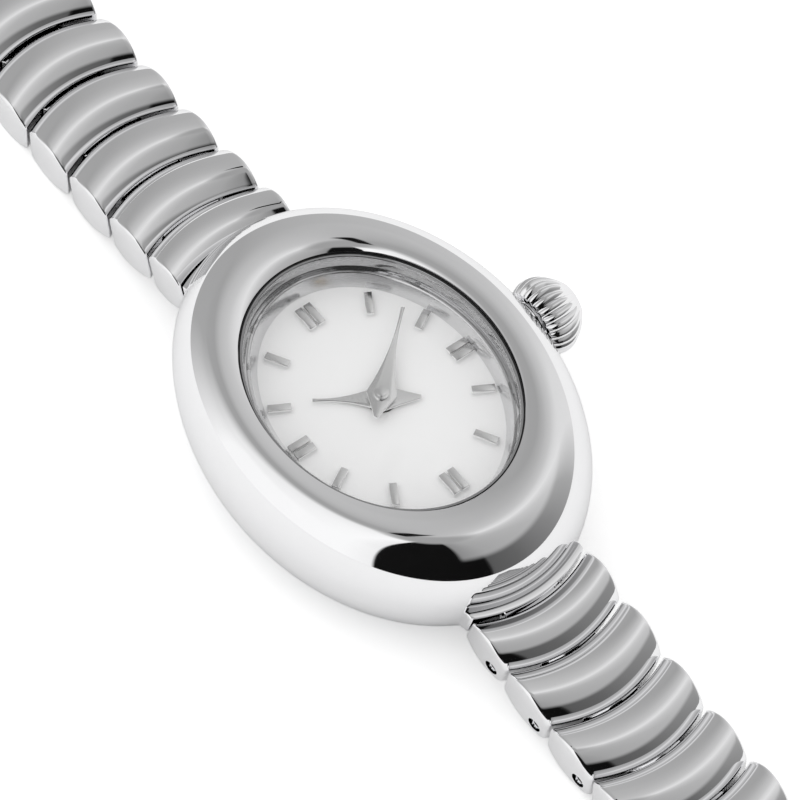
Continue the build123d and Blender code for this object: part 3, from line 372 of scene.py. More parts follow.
def resample(line: np.ndarray, count: int) -> np.ndarray:
    """Spreads a number of points evenly along a broken line, corners kept.

    Args:
        line: Points of the line, any number by two.
        count: Number of points wanted.

    Returns:
        The points, count by two.
    """
    lengths = np.linalg.norm(np.diff(line, axis=0), axis=1)
    along = np.concatenate([[0], np.cumsum(lengths)]) / lengths.sum()
    wanted = np.linspace(0, 1, count)
    for corner in along[1:-1]:
        wanted[np.argmin(abs(wanted - corner))] = corner
    return np.column_stack([np.interp(wanted, along, line[:, k]) for k in (0, 1)])


def inset(outline: np.ndarray, distance: float) -> np.ndarray:
    """Moves each point of a closed outline inwards, square to its neighbours.

    Args:
        outline: Points of a closed outline, count by two, in either direction.
        distance: How far each side moves in.

    Returns:
        The smaller outline, with the same number of points.
    """
    before = outline - np.roll(outline, 1, axis=0)
    after = np.roll(outline, -1, axis=0) - outline
    before = before / np.linalg.norm(before, axis=1, keepdims=True)
    after = after / np.linalg.norm(after, axis=1, keepdims=True)
    x, y = outline.T
    area = np.sum(x * np.roll(y, -1) - np.roll(x, -1) * y)
    turn = 1.0 if area > 0 else -1.0
    both = before + after
    normal = np.column_stack([-both[:, 1], both[:, 0]]) * turn
    normal = normal / np.linalg.norm(normal, axis=1, keepdims=True)
    edge_normal = np.column_stack([-before[:, 1], before[:, 0]]) * turn
    lean = np.clip(np.sum(normal * edge_normal, axis=1, keepdims=True), MITRE_LIMIT, 1.0)
    return outline + normal * distance / lean


def at_height(outline: np.ndarray, height: float) -> np.ndarray:
    """Points of a plan outline at one height, count by three."""
    return np.column_stack([outline, np.full(len(outline), height)])


def at_station(place: float | np.ndarray, outline: np.ndarray) -> np.ndarray:
    """Points of a side outline at a place along X, or each at its own, count by three."""
    return np.column_stack([np.broadcast_to(place, len(outline)), outline])


# Mesh work


def add_object(name: str, data: bpy.types.ID) -> bpy.types.Object:
    """Makes an object of a mesh, lamp or camera.

    Args:
        name: Name of the object.
        data: The mesh, lamp or camera.

    Returns:
        The object, linked to the scene.
    """
    holder = bpy.data.objects.new(name, data)
    bpy.context.scene.collection.objects.link(holder)
    return holder


def smooth(mesh: bpy.types.Mesh) -> None:
    """Shades a mesh smooth, apart from edges that turn more than the sharp angle.

    Args:
        mesh: The mesh.
    """
    mesh.polygons.foreach_set("use_smooth", [True] * len(mesh.polygons))
    mesh.set_sharp_from_angle(angle=SHARP_ANGLE)
    mesh.update()


def object_from_bmesh(name: str, shape: bmesh.types.BMesh, finish: Finish) -> bpy.types.Object:
    """Closes a shape's seams, turns its faces outwards and makes an object of it.

    Args:
        name: Name of the new piece.
        shape: The shape in millimetres; it is used up.
        finish: Finish of the whole piece.

    Returns:
        The object, linked to the scene.
    """
    bmesh.ops.remove_doubles(shape, verts=shape.verts, dist=MERGE_DISTANCE)
    bmesh.ops.dissolve_degenerate(shape, edges=shape.edges, dist=MERGE_DISTANCE / 4)
    bmesh.ops.recalc_face_normals(shape, faces=shape.faces)
    bmesh.ops.scale(shape, vec=(MM, MM, MM), verts=shape.verts)
    mesh = bpy.data.meshes.new(name)
    shape.to_mesh(mesh)
    shape.free()
    mesh.materials.append(finish.material())
    smooth(mesh)
    return add_object(name, mesh)


def add_grid(
    shape: bmesh.types.BMesh,
    grid: np.ndarray,
    loop_rows: bool = False,
    loop_columns: bool = True,
    caps: bool = False,
) -> None:
    """Skins a grid of points with four-sided faces.

    Args:
        shape: The shape that gets the faces.
        grid: Points in millimetres, rows by columns by three.
        loop_rows: Whether the last row joins the first.
        loop_columns: Whether the last column joins the first.
        caps: Whether the first and last rows are filled.
    """
    rows, columns = grid.shape[:2]
    verts = [[shape.verts.new(grid[r, c]) for c in range(columns)] for r in range(rows)]
    for r in range(rows if loop_rows else rows - 1):
        for c in range(columns if loop_columns else columns - 1):
            here, after = verts[r], verts[(r + 1) % rows]
            far = (c + 1) % columns
            shape.faces.new((here[c], after[c], after[far], here[far]))
    if caps:
        shape.faces.new(verts[0])
        shape.faces.new(verts[-1])


def skin(name: str, rows: list[np.ndarray], finish: Finish, **how: bool) -> bpy.types.Object:
    """Makes a piece by skinning rows of points.

    Args:
        name: Name of the piece.
        rows: Rows of the same number of points in millimetres.
        finish: Finish of the piece.
        **how: What add_grid joins or fills.

    Returns:
        The piece.
    """
    shape = bmesh.new()
    add_grid(shape, np.array(rows), **how)
    return object_from_bmesh(name, shape, finish)


def change(piece: bpy.types.Object, how: Solid, tools: list[bpy.types.Object]) -> None:
    """Cuts tools out of a piece, or joins them to it, and removes the tools.

    Args:
        piece: The piece that is changed.
        how: Whether the tools are taken away or joined.
        tools: Closed solids in the same place as the piece.
    """
    for tool in tools:
        step = piece.modifiers.new("solid", "BOOLEAN")
        step.operation = how.value
        step.solver = "EXACT"
        step.object = tool
    bpy.context.view_layer.update()
    depsgraph = bpy.context.evaluated_depsgraph_get()
    mesh = bpy.data.meshes.new_from_object(piece.evaluated_get(depsgraph))
    piece.modifiers.clear()
    piece.data = mesh
    smooth(mesh)
    for tool in tools:
        bpy.data.objects.remove(tool)


def join_shells(piece: bpy.types.Object, *others: bpy.types.Object) -> None:
    """Moves the faces of other objects into a piece, as shells of their own.

    Args:
        piece: The piece, whose finish all shells take.
        *others: The objects, which are removed.
    """
    shape = bmesh.new()
    for part in (piece, *others):
        shape.from_mesh(part.data)
    shape.to_mesh(piece.data)
    shape.free()
    smooth(piece.data)
    for other in others:
        bpy.data.objects.remove(other)


def plate(
    name: str, outline: np.ndarray, low: float, high: float, bevel: float, finish: Finish
) -> bpy.types.Object:
    """Flat plate with its upper edge broken by a small bevel.

    Args:
        name: Name of the piece.
        outline: Closed outline in the plan, count by two.
        low: Height of the underside.
        high: Height of the top.
        bevel: Width of the bevel.
        finish: Finish of the plate.

    Returns:
        The plate.
    """
    inward, down = BEVEL_MIDDLE
    levels = [(0.0, low), (0.0, high - bevel)]
    levels += [(inward * bevel, high - down * bevel), (bevel, high)]
    rows = [
        at_height(inset(outline, step) if step else outline, height) for step, height in levels
    ]
    return skin(name, rows, finish, caps=True)


def rod(start: Triple, length: float, radius: float) -> bpy.types.Object:
    """Round steel rod along +X with softly broken edges.

    Args:
        start: Centre of its first end.
        length: Its length.
        radius: Its radius.

    Returns:
        The rod.
    """
    corner = min(ROD_CORNER, radius / 4)
    middle = CORNER_MIDDLE * corner
    end = [(0.0, corner), (middle, middle), (corner, 0.0)]
    profile = end + [(length - x, drop) for x, drop in reversed(end)]
    circle = oval(1.0, 1.0, ROUND_STEPS)
    rows = [at_station(x, (radius - drop) * circle) + start for x, drop in profile]
    return skin("rod", rows, POLISHED_STEEL, caps=True)


def block(low: Triple, high: Triple) -> bpy.types.Object:
    """Plain cutting block.

    Args:
        low: Its lowest corner.
        high: Its highest corner.

    Returns:
        The block.
    """
    shape = bmesh.new()
    bmesh.ops.create_cube(shape, size=1.0)
    bmesh.ops.scale(shape, vec=Vector(high) - Vector(low), verts=shape.verts)
    bmesh.ops.translate(shape, vec=(Vector(low) + Vector(high)) / 2, verts=shape.verts)
    return object_from_bmesh("block", shape, POLISHED_STEEL)


def fit_out(piece: bpy.types.Object, body: str, slot: str, *nodes: str) -> None:
    """Hangs a piece on its body and hides the nodes that it stands for.

    Args:
        piece: The finished piece.
        body: The CAD body that it moves with.
        slot: The record's material slot; not used.
        *nodes: The CAD nodes that it replaces.
    """
    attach(piece, body)
    if nodes:
        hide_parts(*nodes)
    log.info("%s rides on %s", piece.name, body)


# Bracelet


@dataclass(frozen=True)
class Hinge:
    """Place of one of the bracelet's hinges: reach from the centre, height, and tilt in degrees."""

    reach: float
    height: float
    tilt: float

    def put(self, piece: bpy.types.Object, side: Side) -> None:
        """Puts a piece that is made round its near hinge at this one.

        Args:
            piece: The piece.
            side: Side of the watch.
        """
        turn = Matrix.Rotation(0.0 if side is Side.TWELVE else math.pi, 4, "Z")
        move = Matrix.Translation(Vector((0.0, self.reach * MM, self.height * MM)))
        piece.matrix_world = turn @ move @ Matrix.Rotation(-math.radians(self.tilt), 4, "X")


@dataclass
class CrescentBar:
    """A bar across the bracelet that is set further out in its middle than at its ends.

    crescent and dome are how far out and up its middle stands over a point that is
    bend_width from it. stations, round_steps and cap_steps count rows of points.
    """

    half_width: float = 4.0
    end_bulge: float = 0.35
    bend_width: float = 4.0
    crescent: float = 0.95
    dome: float = 0.1
    end_round: float = 0.16
    stations: int = 49
    round_steps: int = 6
    cap_steps: int = 5

    def bend(self, points: np.ndarray) -> np.ndarray:
        """Moves points (x, u, v) of a straight bar to their place in the crescent.

        Args:
            points: Points of the straight bar.

        Returns:
            The moved points.
        """
        curve = 1 - (points[..., 0] / self.bend_width) ** 2
        bent = points.copy()
        bent[..., 1] += self.crescent * curve
        bent[..., 2] += self.dome * curve
        return bent

    def reach(self, u: np.ndarray, low: float, high: float) -> np.ndarray:
        """Half width of the bar at a distance u between its two faces."""
        middle, half = (low + high) / 2, (high - low) / 2 + self.crescent
        return self.half_width + self.end_bulge * (1 - ((u - middle) / half) ** 2)

    def build(self, name: str, outline: np.ndarray) -> bpy.types.Object:
        """Sweeps a side outline across the bracelet with soft bulged ends.

        Args:
            name: Name of the piece.
            outline: Closed outline of (u, v); its first half runs over the top from one side
                to the other, and the second half comes back below, point for point.

        Returns:
            The bar in the frame of its near hinge: X across, Y outwards, Z up.
        """
        low, high = outline[:, 0].min(), outline[:, 0].max()
        ends = []
        for step in np.radians(np.linspace(90, 0, self.round_steps)):
            ring = inset(outline, self.end_round * (1 - math.cos(step)))
            back = self.end_round * (1 - math.sin(step))
            ends.append((self.reach(ring[:, 0], low, high) - back, ring))
        full = self.reach(outline[:, 0], low, high) - self.end_round
        rows = [at_station(-end, ring) for end, ring in ends]
        for share in np.linspace(-1, 1, self.stations)[1:-1]:
            rows.append(at_station(share * full, outline))
        rows += [at_station(end, ring) for end, ring in reversed(ends)]
        shape = bmesh.new()
        add_grid(shape, self.bend(np.array(rows)))
        ring = inset(outline, self.end_round)
        half = len(ring) // 2
        over, under = ring[:half], ring[half:][::-1]
        for sign in (-1, 1):
            cap = []
            for share in np.linspace(0, 1, self.cap_steps + 1):
                line = over * (1 - share) + under * share
                cap.append(at_station(sign * self.reach(line[:, 0], low, high), line))
            add_grid(shape, self.bend(np.array(cap)), loop_columns=False)
        return object_from_bmesh(name, shape, POLISHED_STEEL)


@dataclass
class LinkShape:
    """One piece of the bracelet in the frame of its near hinge.

    near and far are its upright faces. A piece without a pin_place has no far hinge.
    """

    near: float = 1.29
    far: float = 5.24
    top_rise: float = 1.05
    edge_rise: float = 1.5
    edge_drop: float = 0.7
    belly_drop: float = 0.25
    edge_round: float = 0.32
    pin_place: float | None = 4.3
    pin_radius: float = 0.4
    pin_sink: float = 0.3
    pin_end_gap: float = 0.02
    pin_blind_wall: float = 0.5
    bore_gap: float = 0.09
    tongue_bore_gap: float = 0.03
    tongue_bore_reach: float = 2.6
    tongue_half_width: float = 2.0
    tongue_edge: float = 0.06
    tongue_root: float = 1.35
    knuckle_radius: float = 0.7
    slot_gap: float = 0.15
    slot_roof: float = 1.1
    arch_points: int = 35
    corner_points: int = 7
    knuckle_points: int = 17
    upright_shares: Triple = (0.06, 0.5, 0.94)

    def outline(self) -> np.ndarray:
        """Side outline: arched top, flat faces, curved belly, and four round corners.

        Returns:
            Points of (u, v), once round, from the middle of the near face upwards.
        """
        top = self.face_arc(self.edge_rise, self.top_rise)
        belly = self.face_arc(self.edge_drop, self.belly_drop)
        under = belly[::-1] * (1, -1)
        side_top, side_foot = top[0, 1], -belly[0, 1]
        shares = np.array(self.upright_shares)
        shares = np.concatenate([-shares[::-1], shares])
        heights = (side_top + side_foot) / 2 + (side_top - side_foot) / 2 * shares
        near_face = at_station(self.near, heights[:, None])
        far_face = at_station(self.far, heights[::-1, None])
        half = len(self.upright_shares)
        return np.vstack([near_face[half:], top, far_face, under, near_face[:half]])

    def face_arc(self, edge: float, rise: float) -> np.ndarray:
        """Arched face with its two corners rounded into the upright faces.

        Args:
            edge: Height at which the arch meets the faces.
            rise: Rise of the arch in its middle.

        Returns:
            Points from the near face over the arch to the far face.
        """
        middle, half = (self.near + self.far) / 2, (self.far - self.near) / 2
        radius = (half**2 + rise**2) / (2 * rise)
        centre = edge + rise - radius
        corner, count = (self.edge_round, self.edge_round), self.corner_points
        across = half - self.edge_round
        up = math.sqrt((radius - self.edge_round) ** 2 - across**2)
        lean = math.degrees(math.atan2(up, across))
        near = arc((middle - across, centre + up), corner, 180, 180 - lean, count)
        crest = arc((middle, centre), (radius, radius), 180 - lean, lean, self.arch_points)
        far = arc((middle + across, centre + up), corner, lean, 0, count)
        return np.vstack([near, crest[1:-1], far])

    def tongue(self) -> bpy.types.Object:
        """Tongue that reaches back to the near hinge and ends in a round knuckle.

        Returns:
            The tongue.
        """
        root = self.near + self.tongue_root
        r = self.knuckle_radius
        knuckle = arc((0, 0), (r, r), 90, 270, self.knuckle_points)
        side = np.vstack([knuckle, [(root, -r), (root, r)]])
        wide, flat = self.tongue_half_width, self.tongue_half_width - self.tongue_edge
        soft = inset(side, self.tongue_edge)
        stations = ((-wide, soft), (-flat, side), (flat, side), (wide, soft))
        return skin(
            "tongue", [at_station(x, ring) for x, ring in stations], POLISHED_STEEL, caps=True
        )

    def slot(self, place: float, low: float) -> bpy.types.Object:
        """Cutter for the slot that takes a tongue.

        Args:
            place: Place of the tongue's hinge.
            low: Height that the cutter starts from.

        Returns:
            The cutter.
        """
        wide = self.tongue_half_width + self.slot_gap
        heel = place - self.knuckle_radius - self.slot_gap
        return block((-wide, heel, low), (wide, place + CUT_PAST, self.slot_roof))

    def build(self, name: str) -> bpy.types.Object:
        """Builds the piece with its tongue, and the slot and pin of its far hinge.

        Args:
            name: Name of the piece.

        Returns:
            The piece in the frame of its near hinge.
        """
        bar = CrescentBar()
        piece = bar.build(name, self.outline())
        if self.pin_place is not None:
            start = self.pin_blind_wall - bar.half_width
            length = 2 * bar.half_width - start
            bore = rod((start, self.pin_place, 0.0), length, self.pin_radius + self.bore_gap)
            change(piece, Solid.TAKE_AWAY, [self.slot(self.pin_place, -CUT_PAST), bore])
        change(piece, Solid.JOIN, [self.tongue()])
        reach, radius = self.tongue_bore_reach, self.pin_radius + self.tongue_bore_gap
        change(piece, Solid.TAKE_AWAY, [rod((-reach, 0.0, 0.0), 2 * reach, radius)])
        if self.pin_place is not None:
            start += self.pin_end_gap
            length = bar.half_width - self.pin_sink - start
            join_shells(piece, rod((start, self.pin_place, 0.0), length, self.pin_radius))
        return piece


@dataclass
class Bracelet:
    """Two runs of links, each on its own hinge, with the clasp's parts at their ends."""

    tilts: tuple[float, ...] = (17.0, 12.0, 8.0, 3.0)
    pitch: float = 4.3
    count: int = 13
    first_pitch: float = 3.6
    first_near: float = 1.12
    first_overhang: float = 0.94
    first_rise: float = 0.9
    first_round: float = 0.22

    def hinges(self) -> list[Hinge]:
        """Works out the hinges.

        Returns:
            Each hinge of one side from the case outwards, the clasp's last.
        """
        reach, height = FIRST_HINGE
        places = []
        for index in range(self.count):
            tilt = self.tilts[index] if index < len(self.tilts) else 0.0
            places.append(Hinge(reach, height, tilt))
            pitch = self.pitch if index else self.first_pitch
            reach += pitch * math.cos(math.radians(tilt))
            height -= pitch * math.sin(math.radians(tilt))
        return places + [Hinge(reach, height, 0.0)]

    def build(self) -> None:
        """Builds both runs from two meshes, one for the short first link and one for the rest."""
        first = LinkShape(
            near=self.first_near,
            far=self.first_pitch + self.first_overhang,
            top_rise=self.first_rise,
            edge_round=self.first_round,
            pin_place=self.first_pitch,
        ).build("first_link_master")
        other = LinkShape().build("link_master")
        *link_hinges, clasp_hinge = self.hinges()
        for side in Side:
            for index, hinge in enumerate(link_hinges):
                name = f"link_{side.value}_{index + 1:02d}"
                master = other if index else first
                piece = add_object(f"{name}_dressed", master.data)
                hinge.put(piece, side)
                fit_out(piece, f"{name}_body", "polished_steel", name)
        bpy.data.objects.remove(first)
        bpy.data.objects.remove(other)
        Clasp().build(clasp_hinge)


@dataclass
class Clasp:
    """Hollow cover with its folding blade at 12, and the bar that the blade hooks on at 6."""

    near: float = LinkShape.near
    cover_length: float = 18.0
    cover_rise: float = 0.6
    cover_front: float = 2.2
    cover_roof: float = 1.325
    hollow_half: float = 2.7
    pivot_inset: float = 1.1
    pin_start: float = -3.48
    pin_length: float = 7.43
    pin_radius: float = 0.4
    bore_start: float = -3.5
    bore_length: float = 8.0
    bore_radius: float = 0.42
    blade_half: float = 2.58
    blade_length: float = 12.6
    blade_rise: float = 0.3
    blade_bevel: float = 0.08
    window: Pair = (1.2, 3.0)
    knuckle_radius: float = 0.7
    knuckle_bore: float = 0.43
    hook_radius: float = 0.85
    hook_bore: float = 0.5
    mouth_half: float = 0.35
    bar_length: float = 6.4
    bar_window: float = 3.4
    bar_window_top: float = 6.0
    cross_inset: float = 0.95
    cross_half: float = 3.35
    cross_radius: float = 0.42
    sheet_cut_past: float = 1.0

    def build(self, hinge: Hinge) -> None:
        """Builds the cover, the blade and the bar.

        Args:
            hinge: Last hinge of each run of links.
        """
        cover_end = self.near + self.cover_length
        pivot = cover_end - self.pivot_inset
        for name, piece, side, node in (
            ("clasp_cover", self.cover(cover_end, pivot), Side.TWELVE, "clasp_cover"),
            ("clasp_blade", self.blade(pivot), Side.TWELVE, "clasp_blade"),
            ("clasp_bar", self.bar(), Side.SIX, "clasp_bar_piece"),
        ):
            hinge.put(piece, side)
            fit_out(piece, f"{name}_body", "polished_steel", node)

    def cover(self, end: float, pivot: float) -> bpy.types.Object:
        """Hollow cover with the pin that the blade folds on.

        Args:
            end: Far face of the cover.
            pivot: Place of the pin.

        Returns:
            The cover in the frame of its hinge.
        """
        shape = LinkShape(far=end, top_rise=self.cover_rise, pin_place=None)
        cover = shape.build("clasp_cover_dressed")
        wide = self.hollow_half
        hollow = block(
            (-wide, self.near + self.cover_front, -CUT_PAST),
            (wide, end + CUT_PAST, self.cover_roof),
        )
        bore = rod((self.bore_start, pivot, 0.0), self.bore_length, self.bore_radius)
        change(cover, Solid.TAKE_AWAY, [hollow, bore])
        join_shells(cover, rod((self.pin_start, pivot, 0.0), self.pin_length, self.pin_radius))
        return cover

    def blade(self, pivot: float) -> bpy.types.Object:
        """Blade with a window, a knuckle on the cover's pin and a hook that grips the bar.

        Args:
            pivot: Place of the cover's pin.

        Returns:
            The blade in the frame of the cover's hinge.
        """
        wide, rise = self.blade_half, self.blade_rise
        hook = pivot - self.blade_length
        outline = np.array([(-wide, hook), (wide, hook), (wide, pivot), (-wide, pivot)])
        blade = plate(
            "clasp_blade_dressed", outline, -rise, rise, self.blade_bevel, POLISHED_STEEL
        )
        middle, past = (hook + pivot) / 2, self.sheet_cut_past
        across, along = self.window
        window = block((-across, middle - along, -past), (across, middle + along, past))
        change(blade, Solid.TAKE_AWAY, [window])
        knuckle = rod((-wide, pivot, 0.0), 2 * wide, self.knuckle_radius)
        change(blade, Solid.JOIN, [knuckle, rod((-wide, hook, 0.0), 2 * wide, self.hook_radius)])
        cut, half = wide + past, self.mouth_half
        cutters = [
            rod((-cut, pivot, 0.0), 2 * cut, self.knuckle_bore),
            rod((-cut, hook, 0.0), 2 * cut, self.hook_bore),
            block((-cut, hook - half, -past), (cut, hook + half, 0.0)),
        ]
        change(blade, Solid.TAKE_AWAY, cutters)
        return blade

    def bar(self) -> bpy.types.Object:
        """Bar piece: a link with an open end and a round crosspiece for the hook.

        Returns:
            The bar piece in the frame of its hinge.
        """
        end, wide = self.near + self.bar_length, self.hollow_half
        bar = LinkShape(far=end, pin_place=None).build("clasp_bar_dressed")
        low = (-wide, end - self.bar_window, -CUT_PAST)
        window = block(low, (wide, end + CUT_PAST, self.bar_window_top))
        change(bar, Solid.TAKE_AWAY, [window])
        start = (-self.cross_half, end - self.cross_inset, 0.0)
        join_shells(bar, rod(start, 2 * self.cross_half, self.cross_radius))
        return bar


# Case


@dataclass
class Lug:
    """Lug in the frame of its hinge: a cove on top that rises to a thin lip over the first link.

    Its outline runs from heel along the cove and over the nose, and back along underside.
    """

    heel: tuple[Pair, ...] = ((-1.5, 0.9), (-1.45, 1.05))
    cove: Pair = (-0.73, 0.62)
    cove_heights: Pair = (1.05, 1.5)
    cove_power: float = 2.6
    cove_points: int = 15
    nose: tuple[Pair, ...] = ((0.72, 1.52), (1.0, 1.5), (1.05, 1.44))
    underside: tuple[Pair, ...] = ((0.94, -0.5), (-0.8, -1.5), (-1.5, -1.5))
    half_width: float = 4.15
    end_round: float = 0.1
    slot_floor: float = -1.0
    bore_start: float = -3.5
    bore_length: float = 7.4
    bore_radius: float = 0.46

    def build(self, name: str) -> bpy.types.Object:
        """Builds the lug.

        Args:
            name: Name of the lug.

        Returns:
            The lug in the frame of its hinge.
        """
        foot, lip = self.cove_heights
        rise = foot + (lip - foot) * np.linspace(0, 1, self.cove_points) ** self.cove_power
        cove = np.column_stack([np.linspace(*self.cove, self.cove_points), rise])
        over = np.vstack([self.heel, cove, self.nose])
        under = resample(np.array(self.underside), len(over))
        bar = CrescentBar(half_width=self.half_width, end_bulge=0.0, end_round=self.end_round)
        return bar.build(name, np.vstack([over, under]))

    def cutters(self) -> list[bpy.types.Object]:
        """Cutters for the first link's tongue and for its pin."""
        bore = rod((self.bore_start, 0.0, 0.0), self.bore_length, self.bore_radius)
        return [LinkShape().slot(0.0, self.slot_floor), bore]


@dataclass
class Case:
    """Pebble-shaped case with its lugs, and the rings and glass in its opening.

    The steps of a ring are how far inside an oval each of its corners lies, and how high.
    tube_bore and flange_seat are start along X, length and radius.
    """

    half_length: float = 14.9
    half_width: float = 10.9
    rim_height: float = 1.4
    rim_draw_in: float = 1.4
    belt_height: float = 5.5
    crest_height: float = 9.3
    crest_inset: float = 3.35
    inner_run: float = 1.95
    inner_drop: float = 0.7
    opening: Pair = (7.7, 9.8)
    seat_height: float = 7.7
    ring_bore: Pair = (7.2, 9.3)
    ring_edge: Pair = (7.05, 9.19)
    dial_height: float = 6.8
    cavity: Pair = (8.6, 11.6)
    edge_break: float = 0.07
    lug_tilt: float = 10.0
    crown_axis: float = 4.9
    tube_bore: Triple = (8.0, 6.0, 1.02)
    flange_seat: Triple = (10.72, 3.0, 1.54)
    ring_inner_steps: tuple[Pair, ...] = ((0.51, 6.8), (0.08, 7.62), (0.05, 7.67), (0.0, 7.7))
    ring_outer_steps: tuple[Pair, ...] = ((0.02, 7.7), (0.02, 6.8))
    gasket_steps: tuple[Pair, ...] = (
        (0.02, 7.7),
        (0.02, 8.82),
        (0.04, 8.84),
        (0.07, 8.84),
        (0.09, 8.82),
        (0.09, 7.7),
    )
    glass_steps: tuple[Pair, ...] = ((0.32, 7.7), (0.32, 8.75), (0.37, 8.84), (0.47, 8.9))
    glass_edge_steps: tuple[Pair, ...] = (
        (0.1, 7.72),
        (0.1, 8.8),
        (0.13, 8.84),
        (0.26, 8.84),
        (0.3, 8.79),
        (0.36, 7.72),
    )
    around: int = 288
    arc_points: int = 15
    shoulder_points: int = 33

    def body_grid(self) -> list[np.ndarray]:
        """Works out the case ring.

        Returns:
            One closed section for each direction from the centre.
        """
        ratio = self.half_width / self.half_length
        crest = self.half_length - self.crest_inset
        belt = self.belt_height
        drop = belt - self.rim_height
        lower = (drop**2 + self.rim_draw_in**2) / (2 * self.rim_draw_in)
        sweep = math.degrees(math.asin(drop / lower))
        belly = arc((self.half_length - lower, belt), (lower, lower), -sweep, 0, self.arc_points)
        rounding = (self.crest_inset, self.crest_height - belt)
        shoulder = arc((crest, belt), rounding, 0, 90, self.shoulder_points)[1:]
        brow_centre = (crest, self.crest_height - self.inner_drop)
        brow_size = (self.inner_run, self.inner_drop)
        rows = []
        for c, s in oval(1.0, 1.0, self.around):
            cut = 1 / math.hypot(ratio * c / self.opening[0], s / self.opening[1])
            lean = math.degrees(math.asin((crest - cut) / self.inner_run))
            brow = arc(brow_centre, brow_size, 90, 90 + lean, self.arc_points)[1:]
            outer = np.vstack([belly, shoulder, brow])
            section = [(ratio * c * rho, s * rho, z) for rho, z in outer]
            for half, height in (
                (self.opening, section[-1][2] - self.edge_break),
                (self.opening, self.seat_height),
                (self.ring_bore, self.seat_height),
                (self.ring_bore, self.dial_height),
                (self.cavity, self.dial_height),
                (self.cavity, self.rim_height),
            ):
                section.append((half[0] * c, half[1] * s, height))
            rows.append(np.array(section))
        return rows

    def build(self) -> None:
        """Builds the case body with its lugs, and what lies in its opening."""
        body = skin("case_body_dressed", self.body_grid(), POLISHED_STEEL, loop_rows=True)
        shape = Lug()
        hinge = Hinge(*FIRST_HINGE, self.lug_tilt)
        lugs, cutters = [], []
        for side in Side:
            lugs.append(shape.build(f"lug_{side.value}"))
            hinge.put(lugs[-1], side)
            for cutter in shape.cutters():
                hinge.put(cutter, side)
                cutters.append(cutter)
        for start, length, radius in (self.tube_bore, self.flange_seat):
            cutters.append(rod((start, 0.0, self.crown_axis), length, radius))
        change(body, Solid.JOIN, lugs)
        change(body, Solid.TAKE_AWAY, cutters)
        fit_out(body, "root", "polished_steel", "case_body")
        self.build_opening()

    def rows(self, size: Pair, steps: tuple[Pair, ...]) -> list[np.ndarray]:
        """Rows of points inside an oval of these half sizes, one for each step."""
        return [
            at_height(oval(size[0] - step, size[1] - step, self.around), height)
            for step, height in steps
        ]

    def build_opening(self) -> None:
        """Builds the inner ring, the gasket, the glass and the shining edge of the glass."""
        rows = self.rows(self.ring_edge, self.ring_inner_steps)
        rows += self.rows(self.ring_bore, self.ring_outer_steps)
        ring = skin("inner_ring_dressed", rows, RING_STEEL, loop_rows=True)
        fit_out(ring, "root", "ring_steel", "inner_ring")
        rows = self.rows(self.opening, self.gasket_steps)
        gasket = skin("crystal_gasket_dressed", rows, NITRILE, loop_rows=True)
        fit_out(gasket, "root", "black_rubber", "crystal_gasket")
        rows = self.rows(self.opening, self.glass_steps)
        glass = skin("crystal_dressed", rows, MINERAL_GLASS, caps=True)
        fit_out(glass, "root", "mineral_glass", "crystal")
        rows = self.rows(self.opening, self.glass_edge_steps)
        edge = skin("crystal_edge", rows, GLASS_EDGE, loop_rows=True)
        fit_out(edge, "root", "mineral_glass")


# Crown


